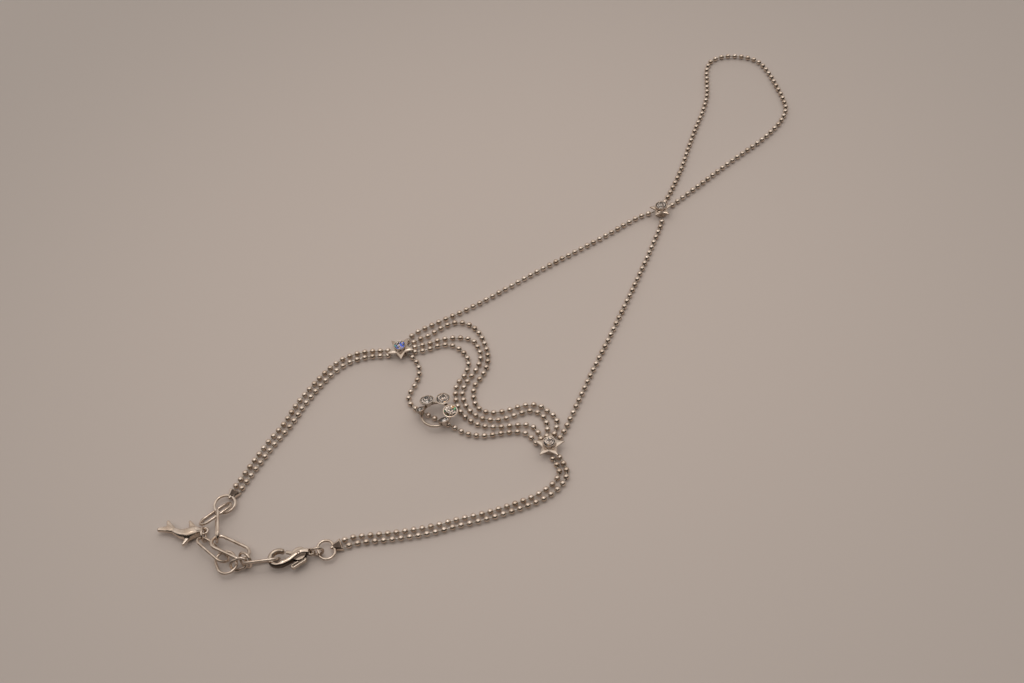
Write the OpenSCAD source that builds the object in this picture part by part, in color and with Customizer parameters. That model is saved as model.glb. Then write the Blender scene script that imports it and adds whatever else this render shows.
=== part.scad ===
// Hand chain bracelet: a ball-chain wrist loop, a finger loop, three stars, a flower and a dolphin.
// All lengths are in millimetres. The piece lies flat on the plane z = 0.

/* [Ball chain] */
// Diameter of a ball
ball_d = 1.1; // [0.9:0.05:1.15]
// Distance from one ball to the next along a strand
ball_pitch = 1.5; // [1.4:0.05:2]
// Diameter of the hole through a ball
ball_hole_d = 0.6; // [0.5:0.05:0.7]
// Diameter of the wire that the balls are strung on
strand_wire_d = 0.24; // [0.2:0.02:0.3]
// Gap between a strand's end and the metal that it is soldered to
strand_seat = 0.1; // [0.05:0.05:0.2]

/* [Stars] */
// From the middle of a star to its tips
star_tip_r = 2.8; // [2.6:0.1:3.2]
// From the middle of a star to the notches between its tips
star_notch_r = 1.4; // [1.3:0.1:1.8]
// Thickness of a star's plate
star_t = 0.5; // [0.3:0.1:0.8]
// Gap between the balls and the plate that covers them
star_clear = 0.1; // [0.05:0.05:0.3]
// Diameter of the post under a star
star_post_d = 2.4; // [1.8:0.1:2.6]
// Outer diameter of a star's stone cup
star_cup_d = 2.4; // [2.3:0.1:2.7]
// Height of a star's stone cup above the plate
star_cup_h = 0.8; // [0.7:0.1:1.2]

/* [Stones] */
// Diameter of a star's stone
star_stone_d = 1.9; // [1.6:0.1:2]
// Diameter of a flower's stone
flower_stone_d = 2.2; // [1.8:0.1:2.3]
// Play between a stone and its cup
stone_play = 0.05; // [0.03:0.01:0.08]

/* [Flower] */
// Outer diameter of a flower cup at its lip
flower_cup_d = 2.8; // [2.7:0.1:3]
// Outer diameter of a flower cup at its foot
flower_foot_d = 1.2; // [1.1:0.1:1.4]
// Height of a whole flower cup
flower_cup_h = 1.4; // [1.3:0.1:1.5]
// Diameter of the ring that the flower's cups are soldered to, to the middle of its wire
flower_ring_d = 5.4; // [5.2:0.1:5.6]
// Wire of the flower's ring
flower_wire_d = 0.5; // [0.4:0.05:0.6]

/* [End caps] */
// Outer diameter of the left cap's round ring
left_ring_d = 4.2; // [4:0.1:4.6]
// Length of the right cap's oval ring
right_ring_l = 4.3; // [4:0.1:4.6]
// Width of the right cap's oval ring
right_ring_w = 3.2; // [3:0.1:3.4]
// Wire of the cap rings
cap_wire_d = 0.5; // [0.4:0.05:0.55]
// Height of the cap rings' wire above the surface, to its middle
cap_ring_z = 0.9; // [0.8:0.05:0.95]
// Length of a cap from its ring to the strands
cap_l = 1.2; // [0.9:0.1:1.5]
// Width of a cap where the strands enter
cap_w = 2.5; // [2.2:0.1:2.9]
// Thickness of a cap
cap_t = 1.2; // [1.1:0.1:1.4]
// Distance between the middles of two strands at a cap
cap_strand_gap = 1.36; // [1.25:0.01:1.5]

/* [Extension chain] */
// Length of a long link
long_link_l = 6.7; // [6.5:0.1:6.9]
// Width of a long link
long_link_w = 3; // [2.9:0.1:3.1]
// Length of the broad link
broad_link_l = 7.8; // [7.6:0.1:8]
// Width of the broad link
broad_link_w = 3.5; // [3.4:0.1:3.6]
// Wire of the broad link
broad_link_wire_d = 0.6; // [0.5:0.05:0.65]
// Length of the oval link
oval_link_l = 5; // [4.9:0.1:5.2]
// Width of the oval link
oval_link_w = 3.8; // [3.7:0.1:3.9]
// Length of the last link, which holds the dolphin's ring
last_link_l = 7.4; // [7.2:0.1:7.5]
// Length of the short link
short_link_l = 3.5; // [3.4:0.1:3.6]
// Width of the short link
short_link_w = 2.4; // [2.3:0.1:2.5]
// Outer diameter of the joining ring
joining_ring_d = 3.3; // [3.2:0.1:3.4]
// Wire of the links
link_wire_d = 0.5; // [0.4:0.05:0.55]

/* [Clasp] */
// Height of the clasp's middle plane above the surface
clasp_z = 1.35; // [1.3:0.05:1.4]
// Thickness of the clasp
clasp_t = 1.2; // [1.1:0.1:1.3]
// Distance from the pivot to the middle of the claw
claw_reach = 3.6; // [3.5:0.1:3.8]
// Radius of the claw's hollow
claw_hollow_r = 0.95; // [0.9:0.05:1]
// Width of the claw and of the spine
claw_w = 0.9; // [0.8:0.05:0.95]
// Radius of the round cheeks at the pivot
cheek_r = 1.35; // [1.2:0.05:1.4]
// Distance from the pivot to the eye
eye_reach = 2.1; // [2:0.05:2.2]
// Radius of the hole in the eye
eye_hole_r = 0.45; // [0.42:0.01:0.48]
// Radius of the eye
eye_r = 0.75; // [0.7:0.05:0.8]
// Thickness of the eye
eye_t = 0.6; // [0.5:0.05:0.65]
// Thickness of the lever
lever_t = 0.5; // [0.4:0.05:0.6]
// Gap between the lever and each cheek
lever_play = 0.1; // [0.05:0.05:0.15]
// Width of the lever's arm
lever_arm_w = 0.6; // [0.5:0.05:0.65]
// Width of the lever's thumb tab
lever_tab_w = 0.8; // [0.7:0.05:0.9]
// Radius of the lever's hub
lever_hub_r = 0.7; // [0.6:0.05:0.8]
// Gap round the lever's hub
lever_hub_gap = 0.3; // [0.2:0.05:0.35]
// Diameter of the clasp's rivet
rivet_d = 0.5; // [0.4:0.05:0.55]
// Gap round the rivet in the lever and the cheeks
rivet_play = 0.05; // [0.03:0.01:0.08]
// Outer diameter of the clasp's ring
clasp_ring_d = 2.5; // [2.45:0.05:2.6]
// Wire of the clasp's ring
clasp_ring_wire_d = 0.5; // [0.4:0.05:0.5]

/* [Dolphin] */
// Length of the dolphin from its tail to the middle of its nose loop
dolphin_l = 8.45; // [8.2:0.05:8.6]
// Thickness of the dolphin's body
dolphin_t = 2.1; // [1.9:0.1:2.2]
// Thickness of the dolphin's fins
fin_t = 0.5; // [0.4:0.1:0.7]
// Radius of the loop at the dolphin's nose, to the middle of its wire
nose_loop_r = 0.6; // [0.58:0.01:0.65]
// Wire of the loop at the dolphin's nose
nose_wire_d = 0.4; // [0.3:0.05:0.45]
// Outer diameter of the dolphin's ring
charm_ring_d = 2.9; // [2.8:0.1:3]
// Wire of the dolphin's ring
charm_ring_wire_d = 0.4; // [0.3:0.05:0.45]

/* [Hidden] */

// The layout below is measured from its lower left corner. This point of it is the frame's origin.
layout_origin = [67.7, 58.7];

// Smoothness of round metal and of balls
round_fn = 48;
ball_fn = 32;

// A cutting body is this many times as long as the metal that it goes through
through = 2;

// A cut stone's parts as shares of its diameter
stone_table = 0.56;
stone_crown = 0.16;
stone_girdle = 0.04;
stone_pavilion = 0.43;
stone_sides = 8;

// Number of a star's tips
star_points = 5;
// Middle of each star, the direction of one tip, and its size beside the largest
left_star_at = [46.3, 44.8];
left_star_turn = -91;
right_star_at = [71.2, 16.7];
right_star_turn = -66;
finger_star_at = [101.8, 71];
finger_star_turn = 85;
finger_star_scale = 0.87;

// Middle of each cap's ring and the direction in which its strands leave
left_cap_at = [12.8, 15.6];
left_cap_turn = 55;
right_cap_at = [30.6, 2.75];
right_cap_turn = 16;

// The middle of the flower's ring
flower_at = [51.8, 27.6];
// For each flower cup: its direction from the ring's middle, its distance as a share of the ring's
// radius, its lift as a share of the ring's wire, its lean, the lean's direction and its size
flower_cups = [
    [119, 1.03, 0.3, 14, 95, 1],
    [58, 1.09, 0, 2, 60, 1],
    [-10, 0.98, 0.1, 7, 290, 1],
    [-62, 1.14, 0.5, 30, 100, 0.8],
    [166, 1, 0.5, 30, 115, 0.75]
];

// Each extension link: its length, its width and its wire
link_sizes = [
    [long_link_l, long_link_w, link_wire_d],
    [long_link_l, long_link_w, link_wire_d],
    [broad_link_l, broad_link_w, broad_link_wire_d],
    [joining_ring_d, joining_ring_d, link_wire_d],
    [long_link_l, long_link_w, link_wire_d],
    [short_link_l, short_link_w, link_wire_d],
    [oval_link_l, oval_link_w, link_wire_d],
    [last_link_l, long_link_w, link_wire_d]
];

// Each extension link's place: x, y, z of its middle, then its roll, pitch and turn
link_places = [
    [11.2, 13.85, 0.93, -32, 0, 33],
    [11.8, 10.65, 1.84, -69, -3, 91],
    [14.15, 5.8, 1.75, -15, 5, -34],
    [16.8, 2.85, 1.58, -33, 116, 8],
    [19.5, 2.2, 1.5, -60, 3, 0],
    [15.65, 2.25, 1.57, 59, -19, 3],
    [13.35, 3.25, 1.2, -1, 1, 108],
    [11.05, 6.1, 1.41, -40, 6, -48]
];
charm_ring_place = [9.35, 9.4, 1.51, 88, -8, 87];

// The clasp's pivot, how far the claw sits to its side, half the angle of the claw's mouth, and the
// place of the ring beside the eye
clasp_at = [26, 2.4];
claw_side = -0.1;
claw_mouth = 60;
clasp_ring_place = [29.06, 2.5, 1.25, 90, 0, 0];

// The lever's arm ends at this share of the way to the claw's tip. Its thumb tab bends and ends at
// these multiples of the cheeks' radius from the pivot.
arm_share = 0.7;
tab_bend = [0.52, -0.96];
tab_end = [-0.8, -1.7];
// Directions between which the cheeks are open for the lever's arm and for its tab
arm_slot = [135, 210];
tab_slot = [225, 340];
slot_steps = 10;

// The dolphin from its tail to its nose: x and y from its nose loop as shares of its length, and the
// share of its thickness. Its fins' outlines are shares of its length too.
dolphin_stations = [
    [-0.765, 0.215, 0.26], [-0.63, 0.105, 0.56], [-0.485, 0.005, 0.78], [-0.35, -0.03, 1],
    [-0.245, -0.005, 1], [-0.16, 0.01, 0.84], [-0.105, 0.01, 0.6], [-0.075, 0.005, 0.35]
];
dolphin_sides = 12;
fluke_outline = [
    [-0.69, 0.21], [-0.73, 0.29], [-0.765, 0.395], [-0.815, 0.29], [-0.835, 0.26],
    [-0.915, 0.25], [-1, 0.205], [-0.915, 0.17], [-0.8, 0.155], [-0.715, 0.15]
];
dorsal_outline = [
    [-0.315, 0.04], [-0.325, 0.195], [-0.33, 0.315], [-0.245, 0.255], [-0.16, 0.16], [-0.135, 0.075]
];
breast_outline = [
    [-0.375, -0.04], [-0.42, -0.16], [-0.45, -0.295], [-0.36, -0.23], [-0.255, -0.125], [-0.22, -0.04]
];
nose_loop_at = [9.35, 10.55];

// Routes of the strands between their ends
routes = [
    ["wrist_left_strand_a", [
        [16.5, 22.2], [20.3, 27.8], [23.5, 31.8], [26, 36], [29.2, 40], [32, 43], [35, 45.2], [39, 46.1]
    ]],
    ["wrist_left_strand_b", [
        [17.6, 21.5], [21.4, 27], [24.7, 31.1], [27.3, 35.3], [30.3, 39.2], [33, 42], [36, 44], [39.5, 44.7]
    ]],
    ["wrist_right_strand_a", [
        [34.6, 4.6], [37, 4.6], [41, 4.3], [45, 4.2], [49, 4.3], [53, 4.8], [57, 5.1], [61, 5.7], [65, 6.5],
        [68.5, 7.7], [71, 9.4], [72.1, 11.5]
    ]],
    ["wrist_right_strand_b", [
        [34.9, 3.2], [37, 3.3], [41, 3], [45, 2.9], [49, 3], [53, 3.5], [57, 3.8], [61, 4.4], [65, 5.2],
        [69, 6.4], [72, 8.4], [73.4, 11]
    ]],
    ["finger_loop", [
        [105.5, 77.5], [108.5, 83], [111, 88.5], [114, 94.7], [116.5, 99.5], [118.5, 104.5], [119.5, 109],
        [120.5, 113.5], [122, 116], [124.5, 117], [128, 116.4], [131, 114.6], [132.5, 112.4], [133.5, 108],
        [134, 103], [134.3, 99], [134, 96.3], [133, 94], [131, 91.4], [126.5, 87.5], [119, 82.6],
        [111, 77]
    ]],
    ["front_strand_1", [
        [49.7, 47], [52, 47.7], [54.3, 49], [57, 49.9], [59.5, 49.1], [61.2, 47], [62.2, 44], [62.6, 40.5],
        [62.2, 38], [61, 35.6], [59.5, 33.7], [58.9, 31], [59.4, 28.4], [61.2, 26.8], [64, 26.5],
        [68, 27.1], [70.4, 26.6], [72, 24.8], [73.2, 23], [73, 21], [72.3, 19.4]
    ]],
    ["front_strand_2", [
        [49.5, 45.4], [51.7, 45.6], [54, 46.1], [57, 46], [60, 44.8], [61, 42.5], [61.2, 40], [60, 37.2],
        [58.2, 34.9], [57, 32.5], [57.2, 29.6], [58.2, 27.4], [60.1, 25.6], [63, 24.7], [66, 25.2],
        [69, 25.6], [70.9, 24], [71.4, 21.5], [71, 19.6]
    ]],
    ["front_strand_3", [
        [49.4, 44], [51.6, 44.2], [53.7, 44.7], [56, 44.3], [58, 42.2], [58.8, 39.5], [57.9, 36.6],
        [56.2, 34.5], [55.6, 31.5], [56, 28.5], [57, 26.5], [59.2, 24.3], [62.2, 23.2], [66, 22.9],
        [68.3, 22.4], [69.4, 21], [69.8, 19.2]
    ]],
    ["flower_strand", [
        [48.5, 42.6], [49.3, 40.5], [49.3, 38.5], [48.5, 36.3], [47, 33.6], [47.2, 31.6], [48.6, 29.8],
        [50.9, 27.8], [54.7, 24.6], [57, 22.7], [60, 21.7], [64, 21.6], [66.8, 21.1], [68, 20], [68.8, 18.4]
    ]],
    ["hand_left_strand", [
        [48.6, 48.3], [50.6, 49.4], [53.5, 50.5], [60.5, 53.1], [67.5, 56.4], [74, 59.6], [81, 62.8],
        [89, 66.5], [97, 70.5]
    ]],
    ["hand_right_strand", [
        [73.3, 18.6], [74.6, 20.5], [80.5, 31], [87, 42], [94.5, 55.1], [100, 65.3], [101.3, 68]
    ]]
];

// How far from a star's middle the plain strands end
tube_reach = 1.8;

// Where each strand starts and ends: at a cap's side or at a star's post, in the given direction
strand_ends = [
    ["wrist_left_strand_a", left_cap_port(1), star_port(left_star_at, 160, tube_reach)],
    ["wrist_left_strand_b", left_cap_port(-1), star_port(left_star_at, 200, tube_reach)],
    ["wrist_right_strand_a", right_cap_port(1), star_port(right_star_at, -92, tube_reach)],
    ["wrist_right_strand_b", right_cap_port(-1), star_port(right_star_at, -52, tube_reach)],
    ["finger_loop", star_port(finger_star_at, 68, tube_reach), star_port(finger_star_at, 26, tube_reach)],
    ["front_strand_1", star_port(left_star_at, 37, 0), star_port(right_star_at, 68, 0)],
    ["front_strand_2", star_port(left_star_at, 11, 0), star_port(right_star_at, 94, 0)],
    ["front_strand_3", star_port(left_star_at, -15, 0), star_port(right_star_at, 120, 0)],
    ["flower_strand", star_port(left_star_at, -43, 0), star_port(right_star_at, 146, 0)],
    ["hand_left_strand", star_port(left_star_at, 63, 0), star_port(finger_star_at, 165, 0)],
    ["hand_right_strand", star_port(right_star_at, 42, 0), star_port(finger_star_at, -98, 0)]
];

// Straight steps to a stretch of a strand's curve
curve_steps = 8;
// Free wire at each end of a ball strand
strand_lead = 1.35;
// Sides and ring spacing of the plain strands
tube_sides = 8;
tube_ring_gap = 3.6;
wire_sides = 6;
// A strand's heading is read over this length to each side
heading_step = 0.2;
// The wire is straight for this share of a ball's diameter to each side of its middle
wire_straight = 0.4;

// Derived heights
ball_z = ball_d / 2;
plate_z = ball_d + star_clear;
star_lip_z = plate_z + star_t + star_cup_h;

// Where a strand meets a star's post or a cap, from the same sizes as the post and the cap
function turned(p, a) = [p[0] * cos(a) - p[1] * sin(a), p[0] * sin(a) + p[1] * cos(a)];
function star_port(at, dir, out) = at + turned([max(star_post_d / 2 + strand_seat, out), 0], dir);
function cap_port(at, dir, ring, side) =
    at + turned([ring / 2 + cap_l + strand_seat, side * cap_strand_gap / 2], dir);
function left_cap_port(side) = cap_port(left_cap_at, left_cap_turn, left_ring_d, side);
function right_cap_port(side) = cap_port(right_cap_at, right_cap_turn, right_ring_w, side);

// A strand's points: its start, its route and its end
function row_of(table, name) = [for (row = table) if (row[0] == name) row][0];
function strand_points(name) =
    let (ends = row_of(strand_ends, name))
    concat([ends[1]], row_of(routes, name)[1], [ends[2]]);

// A smooth curve through points: each stretch is a cubic with the slopes of its neighbours
function slope(p, i) =
    i == 0 ? (p[1] - p[0]) / norm(p[1] - p[0]) :
    i == len(p) - 1 ? (p[i] - p[i - 1]) / norm(p[i] - p[i - 1]) :
    (p[i + 1] - p[i - 1]) / (norm(p[i + 1] - p[i]) + norm(p[i] - p[i - 1]));
function cubic(a, b, sa, sb, t) =
    a * (2 * t ^ 3 - 3 * t ^ 2 + 1) + b * (3 * t ^ 2 - 2 * t ^ 3)
    + (sa * (t ^ 3 - 2 * t ^ 2 + t) + sb * (t ^ 3 - t ^ 2)) * norm(b - a);
function curve(p) = concat(
    [for (i = [0 : len(p) - 2]) for (k = [0 : curve_steps - 1])
        cubic(p[i], p[i + 1], slope(p, i), slope(p, i + 1), k / curve_steps)],
    [p[len(p) - 1]]
);

// The curve with the length run so far: rows of [length, x, y]
function measured(c) = [
    for (i = 0, s = 0; i < len(c); s = s + (i + 1 < len(c) ? norm(c[i + 1] - c[i]) : 0), i = i + 1)
        [s, c[i][0], c[i][1]]
];
function run_length(m) = m[len(m) - 1][0];
function point_at(m, s) = [
    lookup(s, [for (row = m) [row[0], row[1]]]),
    lookup(s, [for (row = m) [row[0], row[2]]])
];
function heading(m, s) =
    let (d = point_at(m, min(s + heading_step, run_length(m))) - point_at(m, max(s - heading_step, 0)))
    atan2(d[1], d[0]);

// Number of balls on a strand, and the lengths at which they sit, centred between its ends
function ball_count(m) = floor((run_length(m) - 2 * strand_lead) / ball_pitch) + 1;
function ball_runs(m) =
    let (n = ball_count(m), first = (run_length(m) - (n - 1) * ball_pitch) / 2)
    [for (k = [0 : n - 1]) first + k * ball_pitch];

// Corners of the ring of a tube: middle, heading in the plane, radius and number of sides
function tube_ring(p, z, a, r, sides) = [
    for (k = [0 : sides - 1])
        let (b = 360 * (k + 0.5) / sides)
        [p[0] - r * cos(b) * sin(a), p[1] + r * cos(b) * cos(a), z + r * sin(b)]
];

// A closed tube through rings that all have the same number of corners
module skin(rings) {
    sides = len(rings[0]);
    last = (len(rings) - 1) * sides;
    polyhedron(
        points = [for (ring = rings) each ring],
        faces = concat(
            [[for (k = [0 : sides - 1]) k]],
            [for (i = [0 : len(rings) - 2]) for (k = [0 : sides - 1])
                let (a = i * sides, b = a + sides, next = (k + 1) % sides)
                [a + k, b + k, b + next, a + next]],
            [[for (k = [sides - 1 : -1 : 0]) last + k]]
        ),
        convexity = 10
    );
}

// A strand drawn as one plain tube of the balls' diameter
module strand_tube(name) {
    m = measured(curve(strand_points(name)));
    n = round(run_length(m) / tube_ring_gap);
    color("silver")
        skin([for (k = [0 : n])
            let (s = run_length(m) * k / n)
            tube_ring(point_at(m, s), ball_z, heading(m, s), ball_d / 2, tube_sides)]);
}

// A strand's drilled balls, each clear of the next
module ball_strand(name) {
    m = measured(curve(strand_points(name)));
    color("silver")
        for (s = ball_runs(m))
            translate([point_at(m, s)[0], point_at(m, s)[1], ball_z])
                rotate([0, 90, heading(m, s)])
                    difference() {
                        sphere(d = ball_d, $fn = ball_fn);
                        cylinder(h = through * ball_d, d = ball_hole_d, center = true, $fn = ball_fn);
                    }
}

// The wire through a strand's balls, straight inside each ball
module strand_wire(name) {
    m = measured(curve(strand_points(name)));
    half = wire_straight * ball_d;
    runs = concat([0], [for (s = ball_runs(m)) each [s - half, s + half]], [run_length(m)]);
    color("gainsboro")
        skin([for (s = runs)
            tube_ring(point_at(m, s), ball_z, heading(m, s), strand_wire_d / 2, wire_sides)]);
}

// A cut stone: an eight-sided table, crown, girdle and point, with the girdle's lower edge at z = 0
module stone(d) {
    n = stone_sides;
    table = [for (k = [0 : n - 1]) [cos(360 * k / n), sin(360 * k / n)] * stone_table * d / 2];
    edge = [for (k = [0 : n - 1]) [cos(360 * (k + 0.5) / n), sin(360 * (k + 0.5) / n)] * d / 2];
    girdle_z = stone_girdle * d;
    color("lightcyan")
        polyhedron(
            points = concat(
                [for (p = table) [p[0], p[1], girdle_z + stone_crown * d]],
                [for (p = edge) [p[0], p[1], girdle_z]],
                [for (p = edge) [p[0], p[1], 0]],
                [[0, 0, -stone_pavilion * d]]
            ),
            faces = concat(
                [[for (k = [n - 1 : -1 : 0]) k]],
                [for (k = [0 : n - 1]) [k, (k + 1) % n, n + k]],
                [for (k = [0 : n - 1]) [(k + 1) % n, n + (k + 1) % n, n + k]],
                [for (k = [0 : n - 1]) [n + k, n + (k + 1) % n, 2 * n + (k + 1) % n, 2 * n + k]],
                [for (k = [0 : n - 1]) [2 * n + k, 2 * n + (k + 1) % n, 3 * n]]
            )
        );
}

// How far the stone's girdle sits below the lip
function girdle_drop(d) = stone_girdle * d + stone_play;

// The hollow of a cup whose lip is at z = 0: room for the girdle over a cone for the point
module stone_hollow(d) {
    hollow_r = d / 2 + stone_play;
    translate([0, 0, -girdle_drop(d)])
        cylinder(h = girdle_drop(d) + stone_crown * d, r = hollow_r, $fn = round_fn);
    translate([0, 0, -girdle_drop(d) - stone_pavilion * 2 * hollow_r])
        cylinder(h = stone_pavilion * 2 * hollow_r, r1 = 0, r2 = hollow_r, $fn = round_fn);
}

module star_plan(size) {
    step = 180 / star_points;
    polygon([for (k = [0 : 2 * star_points - 1])
        (k % 2 == 0 ? star_tip_r : star_notch_r) * size * [cos(step * k), sin(step * k)]]);
}

// A star: a post on the surface, a five-pointed plate over the balls and a cup for the stone
module star(at, turn, size) {
    color("silver")
        translate([at[0], at[1], 0])
            rotate([0, 0, turn])
                difference() {
                    union() {
                        cylinder(h = plate_z + star_t / 2, d = star_post_d, $fn = round_fn);
                        translate([0, 0, plate_z])
                            linear_extrude(height = star_t)
                                star_plan(size);
                        translate([0, 0, plate_z + star_t / 2])
                            cylinder(h = star_t / 2 + star_cup_h, d = star_cup_d, $fn = round_fn);
                    }
                    translate([0, 0, star_lip_z])
                        stone_hollow(star_stone_d);
                }
}

module star_stone(at) {
    translate([at[0], at[1], star_lip_z - girdle_drop(star_stone_d)])
        stone(star_stone_d);
}

// Moves a flower cup or its stone to its place: the cup's foot is at the origin before
module to_flower_cup(cup) {
    p = flower_at + turned([cup[1] * flower_ring_d / 2, 0], cup[0]);
    translate([p[0], p[1], plate_z + cup[2] * flower_wire_d])
        rotate([0, 0, cup[4]])
            rotate([0, cup[3], 0])
                children();
}

module flower_setting() {
    ring_z = plate_z + flower_wire_d / 2;
    color("silver")
        difference() {
            union() {
                translate([flower_at[0], flower_at[1], ring_z])
                    link(flower_ring_d + flower_wire_d, flower_ring_d + flower_wire_d, flower_wire_d);
                for (cup = flower_cups)
                    to_flower_cup(cup)
                        cylinder(
                            h = flower_cup_h * cup[5],
                            d1 = flower_foot_d * cup[5],
                            d2 = flower_cup_d * cup[5],
                            $fn = round_fn
                        );
            }
            for (cup = flower_cups)
                to_flower_cup(cup)
                    translate([0, 0, flower_cup_h * cup[5]])
                        stone_hollow(flower_stone_d * cup[5]);
        }
}

module flower_stone(index) {
    size = flower_cups[index][5];
    to_flower_cup(flower_cups[index])
        translate([0, 0, flower_cup_h * size - girdle_drop(flower_stone_d * size)])
            stone(flower_stone_d * size);
}

// A link or ring of round wire that lies flat round the origin, its length along X
module link(l, w, wire) {
    bend_r = (w - wire) / 2;
    straight = l - w;
    for (side = [-1, 1])
        translate([side * straight / 2, 0, 0])
            rotate([0, 0, side * 90 - 90])
                rotate([0, 0, -90])
                    rotate_extrude(angle = 180, $fn = round_fn)
                        translate([bend_r, 0])
                            circle(d = wire, $fn = round_fn);
    if (straight > 0)
        for (side = [-1, 1])
            translate([-straight / 2, side * bend_r, 0])
                rotate([0, 90, 0])
                    cylinder(h = straight, d = wire, $fn = round_fn);
}

module placed(place) {
    translate([place[0], place[1], place[2]])
        rotate([place[3], place[4], place[5]])
            children();
}

module extension_link(index) {
    size = link_sizes[index];
    color("silver")
        placed(link_places[index])
            link(size[0], size[1], size[2]);
}

// A cap with its soldered ring: the ring is round the origin and the strands leave along X
module end_cap(at, turn, ring_l, ring_w) {
    front = ring_w / 2 + cap_l;
    back = ring_w / 2 - cap_wire_d;
    color("silver")
        translate([at[0], at[1], 0])
            rotate([0, 0, turn]) {
                translate([0, 0, cap_ring_z])
                    rotate([0, 0, 90])
                        link(ring_l, ring_w, cap_wire_d);
                linear_extrude(height = cap_t)
                    polygon([
                        [back, -cap_wire_d], [front - cap_wire_d, -cap_w / 2], [front, -cap_w / 2],
                        [front, cap_w / 2], [front - cap_wire_d, cap_w / 2], [back, cap_wire_d]
                    ]);
            }
}

module left_end_cap() {
    end_cap(left_cap_at, left_cap_turn, left_ring_d, left_ring_d);
}

module right_end_cap() {
    end_cap(right_cap_at, right_cap_turn, right_ring_l, right_ring_w);
}

// A flat bar with round ends between two points
module bar(a, b, w) {
    d = b - a;
    translate(a)
        rotate([0, 0, atan2(d[1], d[0])])
            translate([0, -w / 2])
                square([norm(d), w]);
    for (p = [a, b])
        translate(p)
            circle(d = w, $fn = round_fn);
}

// A slice of a disc between two directions
module slice(from, to, r) {
    polygon(concat(
        [[0, 0]],
        [for (k = [0 : slot_steps]) r * turned([1, 0], from + (to - from) * k / slot_steps)]
    ));
}

// The middle of the claw's end on one side of its mouth, seen from the pivot
function claw_end(side) =
    [-claw_reach, claw_side] + turned([claw_hollow_r + claw_w / 2, 0], side * claw_mouth);

// Plan of the clasp: claw, spine and cheeks
module clasp_plan() {
    difference() {
        translate([-claw_reach, claw_side])
            circle(r = claw_hollow_r + claw_w, $fn = round_fn);
        translate([-claw_reach, claw_side])
            circle(r = claw_hollow_r, $fn = round_fn);
        translate([-claw_reach, claw_side])
            slice(-claw_mouth, claw_mouth, through * (claw_hollow_r + claw_w));
    }
    translate(claw_end(1))
        circle(d = claw_w, $fn = round_fn);
    bar(claw_end(-1), [0, 0], claw_w);
    circle(r = cheek_r, $fn = round_fn);
}

// The room that the lever sweeps between the cheeks
module lever_room() {
    circle(r = lever_hub_r + lever_hub_gap, $fn = round_fn);
    slice(arm_slot[0], arm_slot[1], through * cheek_r);
    slice(tab_slot[0], tab_slot[1], through * cheek_r);
}

module clasp_body() {
    slot_t = lever_t + 2 * lever_play;
    color("silver")
        translate([clasp_at[0], clasp_at[1], clasp_z])
            difference() {
                union() {
                    translate([0, 0, -clasp_t / 2])
                        linear_extrude(height = clasp_t)
                            clasp_plan();
                    translate([0, 0, -eye_t / 2])
                        linear_extrude(height = eye_t) {
                            bar([0, 0], [eye_reach, -claw_side], eye_r);
                            translate([eye_reach, -claw_side])
                                circle(r = eye_r, $fn = round_fn);
                        }
                }
                translate([eye_reach, -claw_side, 0])
                    cylinder(h = through * clasp_t, r = eye_hole_r, center = true, $fn = round_fn);
                translate([0, 0, -slot_t / 2])
                    linear_extrude(height = slot_t)
                        lever_room();
                cylinder(h = through * clasp_t, d = rivet_d + 2 * rivet_play, center = true, $fn = round_fn);
            }
}

module clasp_rivet() {
    color("gainsboro")
        translate([clasp_at[0], clasp_at[1], clasp_z - clasp_t / 2])
            cylinder(h = clasp_t, d = rivet_d, $fn = round_fn);
}

module clasp_lever() {
    color("gainsboro")
        translate([clasp_at[0], clasp_at[1], clasp_z])
            difference() {
                translate([0, 0, -lever_t / 2])
                    linear_extrude(height = lever_t) {
                        circle(r = lever_hub_r, $fn = round_fn);
                        bar([0, 0], arm_share * claw_end(1), lever_arm_w);
                        bar([0, 0], cheek_r * tab_bend, lever_arm_w);
                        bar(cheek_r * tab_bend, cheek_r * tab_end, lever_tab_w);
                    }
                cylinder(h = through * lever_t, d = rivet_d + 2 * rivet_play, center = true, $fn = round_fn);
            }
}

module clasp_ring() {
    color("silver")
        placed(clasp_ring_place)
            link(clasp_ring_d, clasp_ring_d, clasp_ring_wire_d);
}

module charm_ring() {
    color("silver")
        placed(charm_ring_place)
            link(charm_ring_d, charm_ring_d, charm_ring_wire_d);
}

// The dolphin lies on its side: a body of round rings, flat fins and a loop at the nose
module dolphin_charm() {
    points = [for (row = dolphin_stations) nose_loop_at + dolphin_l * [row[0], row[1]]];
    last = len(points) - 1;
    mid_z = dolphin_t / 2;
    loop_d = 2 * nose_loop_r + nose_wire_d;
    color("silver") {
        skin([for (i = [0 : last])
            let (d = points[min(i + 1, last)] - points[max(i - 1, 0)])
            let (r = dolphin_stations[i][2] * dolphin_t / 2)
            tube_ring(points[i], mid_z, atan2(d[1], d[0]), r, dolphin_sides)]);
        translate([nose_loop_at[0], nose_loop_at[1], mid_z - fin_t / 2])
            linear_extrude(height = fin_t)
                for (outline = [fluke_outline, dorsal_outline, breast_outline])
                    polygon(outline * dolphin_l);
        translate([nose_loop_at[0], nose_loop_at[1], mid_z])
            link(loop_d, loop_d, nose_wire_d);
    }
}

// Moves the layout so that the middle of the piece is over the frame's origin
module laid() {
    translate([-layout_origin[0], -layout_origin[1], 0])
        children();
}

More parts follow.
